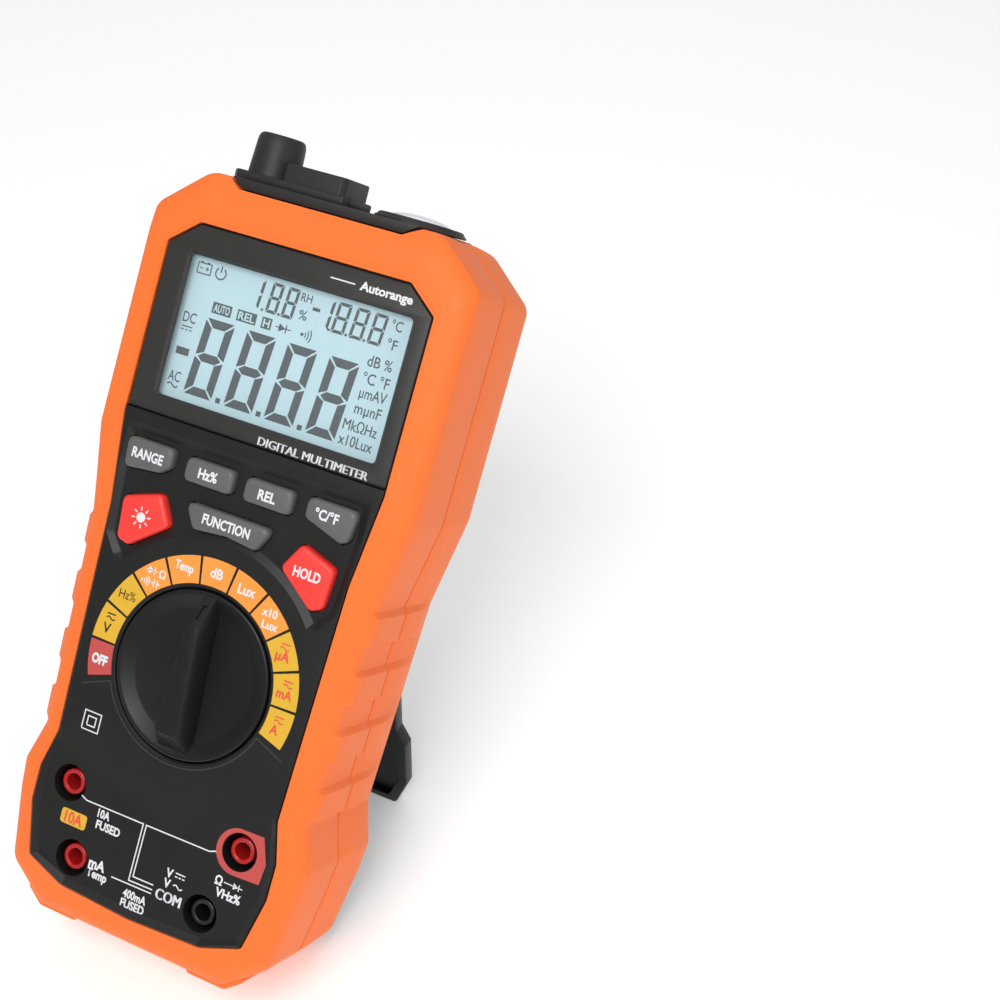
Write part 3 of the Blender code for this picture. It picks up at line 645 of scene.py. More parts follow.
@dataclass
class Assembly:
    """A group of pieces that ride on one CAD body."""

    body: str = "meter"
    pieces: list[Piece] = field(default_factory=list, init=False)

    def keep(self, shape: bpy.types.Object, finish: Finish, *nodes: str, smooth: float = 32.0,
             body: str = "") -> None:
        """Puts a modelled shape on the list of pieces.

        Args:
            shape: the object, in face metres.
            finish: its finish.
            nodes: CAD nodes that it stands for.
            smooth: angle below which faces are shaded smooth, in degrees.
            body: the CAD body, if it isn't the assembly's own.
        """
        self.pieces.append(Piece(shape, finish, nodes, smooth, body or self.body))

    def keep_print(self, shape: bpy.types.Object, finish: Finish) -> None:
        """Puts thin flat print on the list of pieces; it stands for no CAD node."""
        self.keep(shape, finish, smooth=PRINT_SMOOTH)

    def build(self) -> None:
        """Models the pieces."""
        raise NotImplementedError

    def dress(self) -> None:
        """Gives each piece its finish and its place in the row frame."""
        for piece in self.pieces:
            settle(piece.shape, piece.finish, piece.body, *piece.nodes, smooth=piece.smooth)


# ---- outlines of the case ---------------------------------------------------------------------

SEAM_Z = -20.5
BACK_Z = -40.0
CORNER_STEPS = 8
TOP_Z = -16.5
PANEL_HALF = [
    (0.0, 103.4, 0.0), (28.1, 103.4, 1.0), (35.6, 97.4, 1.0), (35.6, 55.3, 4.0),
    (33.0, 33.0, 8.0), (31.4, -25.3, 3.0), (33.9, -35.0, 3.0), (33.9, -44.0, 6.0),
    (30.8, -57.5, 1.5), (20.3, -61.5, 6.0), (0.0, -62.5, 0.0),
]
OUTER_HALF = [
    (0.0, 115.8, 0.0), (31.0, 115.8, 6.5), (43.6, 105.4, 4.5), (43.6, 50.1, 8.0),
    (39.5, 27.1, 8.0), (37.6, -25.2, 4.0), (40.9, -35.9, 4.0), (40.2, -43.0, 8.0),
    (37.4, -61.5, 5.0), (27.0, -70.0, 5.0), (0.0, -70.0, 0.0),
]


@dataclass
class CaseShape:
    """The two outlines of the case, with matching points, and the raised grips down its sides."""

    grip_top: float = 28.6
    grip_step: float = 14.7
    grip_height: float = 8.9
    grip_out: float = 1.25
    grip_slope: float = 1.1
    longest: float = 4.0
    inner: list[Vector] = field(default_factory=list, init=False)
    outer: list[Vector] = field(default_factory=list, init=False)

    def __post_init__(self) -> None:
        """Works out both outlines, with extra points where the grips start and end."""
        inner = [Vector(point) for point in rounded(mirrored(PANEL_HALF), CORNER_STEPS)]
        outer = [Vector(point) for point in rounded(mirrored(OUTER_HALF), CORNER_STEPS)]
        levels = []
        for number in range(4):
            top = self.grip_top - self.grip_step * number
            low = top - self.grip_height
            levels += [top, top - self.grip_slope, low + self.grip_slope, low]
        for index, start in enumerate(outer):
            end = outer[(index + 1) % len(outer)]
            shares = {0.0}
            parts = max(1, round((end - start).length / self.longest))
            shares |= {step / parts for step in range(parts)}
            if abs(start.x) > 35.0 and start.x * end.x > 0 and (end - start).length > 1.0:
                shares |= {(y - start.y) / (end.y - start.y) for y in levels
                           if 0.0 < (y - start.y) / (end.y - start.y) < 1.0}
            for share in sorted(shares):
                self.outer.append(start.lerp(end, share))
                self.inner.append(inner[index].lerp(inner[(index + 1) % len(inner)], share))

    def ridge(self, y: float) -> float:
        """How much of a grip's height there is at a height on the side: 0 to 1.

        Args:
            y: the height on the side.

        Returns:
            The share, 0 between the grips and 1 on their faces.
        """
        for number in range(4):
            top = self.grip_top - self.grip_step * number
            low = top - self.grip_height
            if low <= y <= top:
                return max(0.0, min(1.0, (top - y) / self.grip_slope, (y - low) / self.grip_slope))
        return 0.0

    def ring(self, share: float | Callable[[Vector], float], z: float | Callable[[Vector], float],
             grip: float = 0.0, outset: float = 0.0) -> list[Vector]:
        """One level of the case.

        Args:
            share: the way from the panel outline to the outer outline, as a number or as a function
                of the outer point.
            z: height, as a number or as a function of the outer point.
            grip: share of the grips' height at this level.
            outset: distance by which the whole level is moved outwards, in millimetres.

        Returns:
            The level's points, in face millimetres.
        """
        level = []
        for index, (near, far) in enumerate(zip(self.inner, self.outer)):
            s = share(far) if callable(share) else share
            spot = near.lerp(far, s)
            around = self.outer[(index + 1) % len(self.outer)] - self.outer[index - 1]
            away = Vector((around.y, -around.x)).normalized()
            if away.dot(far) < 0:
                away = -away
            push = outset
            if abs(far.x) > 35.0:
                push += grip * self.grip_out * self.ridge(far.y)
            spot = spot + away * push
            level.append(Vector((spot.x, spot.y, z(far) if callable(z) else z)))
        return level


CASE = CaseShape()


def ramp(value: float, start: float, end: float) -> float:
    """A smooth step from 0 at start to 1 at end."""
    t = max(0.0, min(1.0, (value - start) / (end - start)))
    return t * t * (3.0 - 2.0 * t)


# ---- rubber skin ------------------------------------------------------------------------------

def deck_room() -> bpy.types.Object:
    """The room for the sensor deck, which every shell gives way to."""
    return slab("deck_room", box_outline((-24.5, 24.5), (109.9, 120.0)), -34.3, -6.0)


@dataclass
class Bumper(Assembly):
    """The orange rubber skin: a front half with a creased shoulder, and a rear half."""

    skin_in: float = 0.70
    seam_gap: float = 0.15
    side_z: float = -5.4
    crease_top: float = 0.12
    crease_display: float = 0.59
    crease_low: float = 0.25
    notch: tuple[float, float, float, float] = (21.8, 27.6, 113.2, 117.0)
    pad: tuple[Corner, ...] = ((15.2, -69.0, 0.3), (16.8, -71.0, 1.0), (27.2, -71.0, 2.5), (31.9, -67.3, 1.5),
                               (30.4, -65.8, 0.0), (15.8, -68.2, 0.0))

    def crease(self, spot: Vector) -> float:
        """Where the shoulder's crease runs, as a share of the rim."""
        low = self.crease_low + (self.crease_display - self.crease_low) * ramp(spot.y, 30.0, 52.0)
        return low + (self.crease_top - low) * ramp(spot.y, 99.0, 106.0)

    def crease_z(self, spot: Vector) -> float:
        """Height of the crease."""
        return -0.80 - 0.93 * (self.crease(spot) - self.crease_top)

    def round_share(self, turn: float) -> Callable[[Vector], float]:
        """Share of the rim at one angle of the shoulder's rounding."""
        return lambda spot: self.crease(spot) + (1.0 - self.crease(spot)) * math.sin(turn)

    def round_z(self, turn: float) -> Callable[[Vector], float]:
        """Height at one angle of the shoulder's rounding."""
        return lambda spot: self.crease_z(spot) + (self.side_z - self.crease_z(spot)) * (1.0 - math.cos(turn))

    def front_rings(self) -> list[list[Vector]]:
        """Levels of the front half, from the inner face over the shoulder to the seam.

        Returns:
            The levels, in order.
        """
        rings = [CASE.ring(0.0, -2.1, outset=0.1), CASE.ring(0.0, -0.42, outset=0.1),
                 CASE.ring(0.015, -0.24, outset=0.1), CASE.ring(0.05, -0.30)]
        rings.append(CASE.ring(lambda spot: min(0.13, self.crease(spot) - 0.04), -0.72))
        rings.append(CASE.ring(lambda spot: min(0.17, self.crease(spot) - 0.02), -0.80))
        rings.append(CASE.ring(lambda spot: self.crease(spot) - 0.012, self.crease_z))
        for step in range(1, 9):
            turn = math.radians(8.0 + 82.0 * step / 8)
            rings.append(CASE.ring(self.round_share(turn), self.round_z(turn), grip=ramp(step, 3.5, 7.5)))
        seam = SEAM_Z + self.seam_gap
        rings += [CASE.ring(1.0, -8.0, grip=1.0), CASE.ring(1.0, seam + 0.6, grip=1.0),
                  CASE.ring(1.0, seam + 0.15, grip=1.0, outset=-0.12),
                  CASE.ring(1.0, seam, grip=1.0, outset=-0.4)]
        return rings + [CASE.ring(self.skin_in, seam), CASE.ring(self.skin_in, -2.9), CASE.ring(0.3, -2.3)]

    def rear_rings(self) -> list[list[Vector]]:
        """Levels of the rear half, from the seam to the rounded back edge.

        Returns:
            The levels, in order.
        """
        seam = SEAM_Z - self.seam_gap
        return [CASE.ring(1.0, seam, grip=1.0, outset=-0.4),
                CASE.ring(1.0, seam - 0.15, grip=1.0, outset=-0.12),
                CASE.ring(1.0, seam - 0.6, grip=1.0), CASE.ring(0.98, -29.0, grip=0.95),
                CASE.ring(0.955, -34.0, grip=0.6), CASE.ring(0.94, -36.5, grip=0.15), CASE.ring(0.90, -38.4),
                CASE.ring(0.86, -39.6), CASE.ring(0.81, -39.98), CASE.ring(self.skin_in, BACK_Z),
                CASE.ring(self.skin_in, seam)]

    def finish_half(self, half: bpy.types.Object, low: float, high: float) -> None:
        """Adds the low feet to a half and cuts the deck's notch.

        Args:
            half: the skin.
            low: lowest z of the feet.
            high: highest z of the feet.
        """
        for side in (-1, 1):
            foot = slab("foot", [(side * x, y) for x, y in rounded(self.pad, 5)], low, high)
            soften(foot, 0.5, 2, 50.0)
            boolean(half, foot, Join.ADD)
        x1, x2, y1, y2 = self.notch
        boolean(half, slab("notch", [(-x1, y1), (x1, y1), (x2, y2), (-x2, y2)], -60.0, 10.0))
        boolean(half, deck_room())

    def build(self) -> None:
        """Models both halves."""
        front = skin("bumper_front", self.front_rings(), closed=True)
        self.finish_half(front, SEAM_Z + self.seam_gap, -5.0)
        self.keep(front, ORANGE_RUBBER, "front_bumper", smooth=17.0)
        rear = skin("bumper_rear", self.rear_rings(), closed=True)
        self.finish_half(rear, -33.0, SEAM_Z - self.seam_gap)
        self.keep(rear, ORANGE_RUBBER, "rear_bumper", smooth=24.0)


# ---- front shell ------------------------------------------------------------------------------

JACKS = {"10a": (-24.9, -36.6), "ma": (-19.3, -54.2), "com": (18.0, -53.9), "volt": (23.9, -35.9)}
BUTTONS = {
    "range_button": [(-32.0, 50.3), (-18.8, 50.3), (-18.8, 45.7), (-21.6, 43.6), (-31.5, 42.6)],
    "hz_button": [(-15.0, 50.0), (-1.8, 50.0), (-1.8, 44.1), (-15.0, 44.1)],
    "rel_button": [(1.4, 50.0), (14.4, 50.0), (14.4, 44.1), (1.4, 44.1)],
    "temp_button": [(18.1, 50.3), (31.3, 50.3), (30.4, 43.0), (28.6, 41.9), (18.1, 45.2)],
    "function_button": [(-12.8, 39.8), (11.6, 39.8), (8.2, 33.6), (0.0, 34.5), (-9.2, 33.6)],
    "light_button": [(-29.4, 35.9), (-19.2, 39.2), (-15.2, 32.2), (-25.2, 24.6), (-28.5, 25.6)],
    "hold_button": [(19.6, 39.2), (29.2, 35.9), (28.6, 26.2), (25.6, 24.7), (15.5, 32.3)],
}


def bezel_outline(offset: float, radius: float = 0.8) -> list[Point]:
    """The display frame's outline with its two cut upper corners."""
    corners = [(-35.3, 57.0), (35.3, 57.0), (35.3, 97.2), (28.0, 103.0), (-28.0, 103.0), (-35.3, 97.2)]
    return shifted(corners, offset, radius, 3)


@dataclass
class FrontShell(Assembly):
    """The black front shell: its panel with two sunken fields, wells and holes."""

    field_depth: float = 0.8
    slope: float = 1.9
    dial_rim: float = 33.8
    well_r: float = 21.1
    well_floor: float = -3.4
    jack_well: float = 4.6
    jack_out: float = 5.5
    case_out: float = 0.63
    case_in: float = 0.40

    def shell(self) -> bpy.types.Object:
        """The hollow shell with a softly rounded panel edge.

        Returns:
            The shell before its wells and holes are cut.
        """
        levels = [CASE.ring(0.0, -0.06, outset=-0.55), CASE.ring(0.0, -0.18, outset=-0.25),
                  CASE.ring(0.0, -0.5, outset=-0.1), CASE.ring(0.0, -2.5, outset=-0.25)]
        levels[0:0] = [CASE.ring(0.0, 0.0, outset=-0.95)]
        levels += [CASE.ring(self.case_out, -3.1), CASE.ring(self.case_out, SEAM_Z + 0.15),
                   CASE.ring(self.case_in, SEAM_Z + 0.15), CASE.ring(self.case_in, -4.0)]
        return skin("front_shell", levels)

    def key_field(self, grow: float) -> list[Point]:
        """Outline of the sunken field round the buttons; it ends in an arc round the dial.

        Args:
            grow: distance by which the outline is moved outwards, in millimetres.

        Returns:
            The outline's points, anticlockwise from the lower right.
        """
        rim = self.dial_rim - grow
        top = 52.6 + grow
        right = arc(rim, 39.0 - grow * 0.6, 141.0 + grow * 0.6, 44)
        low_right = (28.0 + grow * 0.7, 21.8 - grow * 0.6)
        corner = (31.3 + grow, 26.0)
        far = (32.6 + grow, 44.0)
        outline = [(*low_right, 1.5), (*corner, 3.0), (*far, 3.0), (32.4 + grow, top, 1.6)]
        edge = rounded(outline + [(-x, y, r) for x, y, r in reversed(outline)] +
                       [(x, y, 0.0) for x, y in reversed(right)], 4)
        return edge

    def socket_field(self, grow: float) -> list[Point]:
        """Outline of the sunken field round the sockets, below a curved step.

        Args:
            grow: distance by which the outline is moved outwards, in millimetres.

        Returns:
            The outline's points.
        """
        top = [(x, -29.0 + 3.2 * (abs(x) / 31.0) ** 2.2 + grow * 2.2) for x in range(-30, 31, 2)]
        low = [(32.6 + grow, -35.0), (32.6 + grow, -44.0), (29.6 + grow, -56.6), (19.8, -60.3 - grow),
               (0.0, -61.2 - grow), (-19.8, -60.3 - grow), (-29.6 - grow, -56.6), (-32.6 - grow, -44.0),
               (-32.6 - grow, -35.0)]
        return [(x, y) for x, y in top] + [(31.2 + grow, -27.5)] + low + [(-31.2 - grow, -27.5)]

    def sink(self, shell: bpy.types.Object, outline: Callable[[float], list[Point]], depth: float) -> None:
        """Sinks a field into the panel with sloped sides.

        Args:
            shell: the panel.
            outline: gives the field's outline for a distance outwards.
            depth: depth of the field.
        """
        spread = self.slope * 0.5
        levels = [(-spread, -depth), (spread, 0.0), (spread + self.slope, 1.0)]
        rings = [[Vector((x, y, z)) for x, y in outline(grow)] for grow, z in levels]
        boolean(shell, skin("field", rings))

    def build(self) -> None:
        """Models the shell and cuts its wells, holes and rooms."""
        shell = self.shell()
        self.sink(shell, self.key_field, self.field_depth)
        self.sink(shell, self.socket_field, self.field_depth)
        boolean(shell, slab("key_room", box_outline((-33.4, 33.4), (-55.2, 53.0)), -9.0, -2.4))
        boolean(shell, slab("dial_well", arc(self.well_r + 1.4, 0.0, 358.0, 72), -4.8, -1.2), Join.ADD)
        boolean(shell, lathe("dial_room", [(0.0, self.well_floor), (self.well_r, self.well_floor),
                                           (self.well_r, -0.35), (self.well_r + 0.4, 0.0),
                                           (self.well_r + 3.4, 3.0), (0.0, 3.0)], (0, 0, 0), 96))
        boolean(shell, rod("shaft_hole", 5.0, -9.0, 0.0, (0, 0, 0), 32))
        for name, (x, y) in JACKS.items():
            depth = -self.field_depth
            near, far = self.jack_well - 0.1, self.jack_out
            rim = [(near, -11.4), (far, -11.4), (far, depth - 0.3), (near, depth - 0.3)]
            boolean(shell, lathe("rim", rim, (x, y, 0.0), 48), Join.ADD)
            boolean(shell, rod("bore_" + name, self.jack_well, -12.0, 1.0, (x, y, 0.0), 48))
        for name, corners in BUTTONS.items():
            boolean(shell, slab("hole_" + name, shifted(corners, 0.35, 2.1), -9.0, 1.0))
        boolean(shell, slab("bezel_room", bezel_outline(0.3), -2.2, 2.0))
        boolean(shell, slab("window_room", box_outline((-33.4, 33.4), (58.4, 99.2)), -3.6, 0.0))
        boolean(shell, slab("lcd_hole", box_outline((-31.0, 31.0), (60.4, 97.0)), -9.0, 0.0))
        boolean(shell, deck_room())
        self.keep(shell, PANEL_BLACK, "front_case", smooth=12.0)


# ---- display ----------------------------------------------------------------------------------

SEGMENTS = {"0": "abcdef", "1": "bc", "2": "abged", "3": "abgcd", "4": "fgbc", "5": "afgcd", "6": "afgedc",
            "7": "abc", "8": "abcdefg", "9": "abcdfg", "-": "g"}


@dataclass
class Display(Assembly):
    """Frame, window, glass and every sign that the liquid-crystal display can show."""

    glass_x: Point = (-28.9, 30.7)
    glass_y: Point = (61.6, 95.9)
    face_z: float = -4.3
    digit_width: float = 7.9
    digit_low: float = 63.3
    digit_high: float = 82.2
    bar: float = 2.1
    lean: float = 0.075
    marks: list[bpy.types.Object] = field(default_factory=list, init=False)
    negative: list[bpy.types.Object] = field(default_factory=list, init=False)

    def frame(self) -> bpy.types.Object:
        """The raised frame with a sloped inner edge round the window.

        Returns:
            The frame.
        """
        bezel = slab("display_frame", bezel_outline(0.0), -1.9, -0.5)
        soften(bezel, 0.45, 3, 60.0)
        inner = box_outline(self.glass_x, self.glass_y)
        rings = [[Vector((x, y, z)) for x, y in shifted(inner, grow, 1.2, 5)]
                 for grow, z in ((0.0, -5.0), (0.0, -1.35), (0.55, -0.75), (0.75, -0.4), (0.75, 1.0))]
        boolean(bezel, skin("opening", rings))
        return bezel

    def segment(self, letter: str, left: float, low: float, wide: float, high: float, thick: float) -> None:
        """Adds one slanted bar of a seven-bar digit.

        Args:
            letter: which bar, a to g.
            left: left edge of the digit at its foot.
            low: height of the digit's foot on the face.
            wide: width of the digit.
            high: height of the digit.
            thick: width of a bar.
        """
        t, gap, half = thick, thick * 0.12, high / 2
        level = {"a": (high, -1), "d": (0.0, 1)}
        if letter in level:
            y, inward = level[letter]
            shape = [(gap, y), (wide - gap, y), (wide - t - gap, y + inward * t), (t + gap, y + inward * t)]
        elif letter == "g":
            shape = [(gap + t / 4, half), (t, half + t / 2), (wide - t, half + t / 2),
                     (wide - gap - t / 4, half), (wide - t, half - t / 2), (t, half - t / 2)]
        else:
            up = letter in "bf"
            start, stop = (half, high) if up else (0.0, half)
            outer = wide if letter in "bc" else 0.0
            inward = -t if letter in "bc" else t
            far, near = (stop, start) if up else (start, stop)
            sign = -1 if up else 1
            shape = [(outer, far + sign * gap * 2), (outer + inward, far + sign * (t + gap)),
                     (outer + inward, near - sign * (t / 2 + gap)), (outer, near - sign * gap)]
        slanted = [(left + x + self.lean * y, low + y) for x, y in shape]
        self.marks.append(plate("bar", slanted, self.face_z))

    def digit(self, figure: str, left: float, low: float, wide: float, high: float, thick: float) -> None:
        """Adds a seven-bar digit."""
        for letter in SEGMENTS[figure]:
            self.segment(letter, left, low, wide, high, thick)

    def dot(self, x: float, y: float, size: float) -> None:
        """Adds a square decimal point."""
        self.marks.append(plate("dot", box_outline((x, x + size), (y, y + size)), self.face_z))

    def word(self, text: str, x: float, y: float, height: float, span: float) -> None:
        """Adds a small sign of a given width, centred on a point."""
        self.marks.append(lettering("sign", text, (x, y), height, self.face_z, weight=0.012, span=span))

    def main_reading(self) -> None:
        """The large digits with their points, the minus and the kind of current."""
        high = self.digit_high - self.digit_low
        for left, figure in ((-23.8, "8"), (-12.4, "8"), (-1.2, "8"), (10.1, "8")):
            self.digit(figure, left, self.digit_low, self.digit_width, high, self.bar)
        for x in (-14.7, -3.4, 7.9):
            self.dot(x, self.digit_low, 1.25)
        self.marks.append(plate("minus", box_outline((-28.5, -24.9), (71.8, 73.6)), self.face_z))
        self.word("DC", -27.0, 80.9, 2.6, 3.6)
        self.marks.append(plate("direct", box_outline((-28.6, -25.6), (78.5, 78.8)), self.face_z))
        for x in (-28.6, -27.45, -26.3):
            self.marks.append(plate("dash", box_outline((x, x + 0.7), (77.7, 78.0)), self.face_z))
        self.word("AC", -27.1, 66.4, 2.6, 3.4)
        self.marks.append(plate("wave", wave(-27.1, 64.2, 3.0, 0.42, 0.36), self.face_z))

    def small_readings(self) -> None:
        """The two small readings on the top line, with their units."""
        low, high, bar = 87.4, 7.3, 0.76
        for figure, left in (("1", -13.0), ("8", -8.0), ("8", -3.7)):
            self.digit(figure, left, low, 3.1, high, bar)
        for figure, left in (("1", 5.5), ("8", 9.8), ("8", 14.6), ("8", 19.4)):
            self.digit(figure, left, low, 3.5, high, bar)
        for x in (-9.1, -4.55, 9.0, 13.6, 18.4):
            self.dot(x, low, 0.62)
        self.marks.append(plate("minus", box_outline((4.0, 6.0), (90.95, 91.75)), self.face_z))
        self.word("RH", 1.9, 93.3, 2.0, 2.9)
        self.word("%", 2.0, 89.2, 2.3, 2.2)
        self.word("°C", 25.9, 93.1, 2.5, 2.8)
        self.word("°F", 25.9, 88.7, 2.5, 2.6)

    def signs(self) -> None:
        """The row of small signs over the digits and the column of units beside them."""
        y = 84.9
        for text, x, width in (("AUTO", -19.1, 5.3), ("REL", -12.2, 5.3), ("H", -6.7, 2.7)):
            self.marks.append(plate("box", box_outline((x - width / 2, x + width / 2), (y - 1.35, y + 1.35)),
                                    self.face_z - 0.01))
            self.negative.append(lettering("sign", text, (x, y), 1.9, self.face_z + 0.03, weight=0.03,
                                           span=width - 0.9))
        self.marks.append(plate("diode", [(-3.3, 83.9), (-1.5, 84.9), (-3.3, 85.9)], self.face_z))
        self.marks.append(plate("diode_bar", box_outline((-1.5, -1.2), (83.9, 85.9)), self.face_z))
        self.marks.append(plate("diode_line", box_outline((-4.2, 0.0), (84.8, 85.05)), self.face_z))
        self.sound(3.0, 84.9)
        x1, x2, y1, y2 = -28.3, -24.6, 91.8, 94.3
        case = [(x1, y1), (x2, y1), (x2, y2), (x1, y2), (x1, y1 + 0.15)]
        self.marks.append(plate("cell", stroke(case, 0.3), self.face_z))
        for x in (x1 + 0.6, x2 - 1.3):
            self.marks.append(plate("cell_tip", box_outline((x, x + 0.7), (y2, y2 + 0.4)), self.face_z))
        self.marks.append(plate("pole", box_outline((x1 + 0.6, x1 + 1.5), (92.95, 93.2)), self.face_z))
        self.marks.append(plate("pole", box_outline((x2 - 1.6, x2 - 0.5), (92.95, 93.2)), self.face_z))
        self.marks.append(plate("pole", box_outline((x2 - 1.18, x2 - 0.92), (92.55, 93.6)), self.face_z))
        loop = arc(1.4, 125.0, 415.0, 24, (-21.8, 93.0))
        self.marks.append(plate("power", stroke(loop, 0.36), self.face_z))
        self.marks.append(plate("power", box_outline((-21.98, -21.62), (93.2, 94.8)), self.face_z))
        rows = (("dB %", 24.2, 83.7, 6.4), ("°C °F", 24.4, 79.7, 6.9), ("µmAV", 24.6, 75.9, 7.0),
                ("mµnF", 24.4, 72.1, 6.9), ("MkΩHz", 23.6, 68.3, 8.8), ("x10Lux", 23.4, 64.6, 8.9))
        for text, x, y, span in rows:
            self.word(text, x, y, 2.65, span)

    def sound(self, x: float, y: float) -> None:
        """The buzzer's sign: a dot and three arcs.

        Args:
            x: the dot's place across the face.
            y: its height on the face.
        """
        self.marks.append(plate("dot", arc(0.42, 0.0, 330.0, 11, (x, y)), self.face_z))
        for step in range(3):
            bow = arc(0.95 + 0.75 * step, -38.0, 38.0, 8, (x, y))
            self.marks.append(plate("bow", stroke(bow, 0.28), self.face_z))

    def build(self) -> None:
        """Models the frame, window, glass and signs."""
        self.keep(self.frame(), BEZEL_GREY, "display_bezel")
        glass = slab("lcd_glass", box_outline((-32.4, 32.4), (59.0, 98.4)), -6.5, self.face_z)
        self.keep(glass, LCD_PALE, "lcd_panel")
        window = slab("window", box_outline((-33.0, 33.0), (58.8, 98.8)), -3.3, -2.2)
        soften(window, 0.15, 1)
        self.keep(window, WINDOW_CLEAR, "display_window")
        self.main_reading()
        self.small_readings()
        self.signs()
        self.keep_print(fuse(self.marks, "lcd_signs"), LCD_INK)
        self.keep_print(fuse(self.negative, "lcd_negative_signs"), LCD_PALE)
        self.print_frame()

    def print_frame(self) -> None:
        """The generic words on the frame."""
        z = -0.5
        words = [lettering("word", "Autorange", (22.9, 99.4), 2.05, z, weight=0.045, span=13.6),
                 plate("line", box_outline((8.3, 14.8), (99.45, 99.75)), z),
                 lettering("word", "DIGITAL MULTIMETER", (15.7, 58.5), 2.05, z, weight=0.045, span=29.2)]
        self.keep_print(fuse(words, "frame_print"), INK_WHITE)


# ---- selector ---------------------------------------------------------------------------------

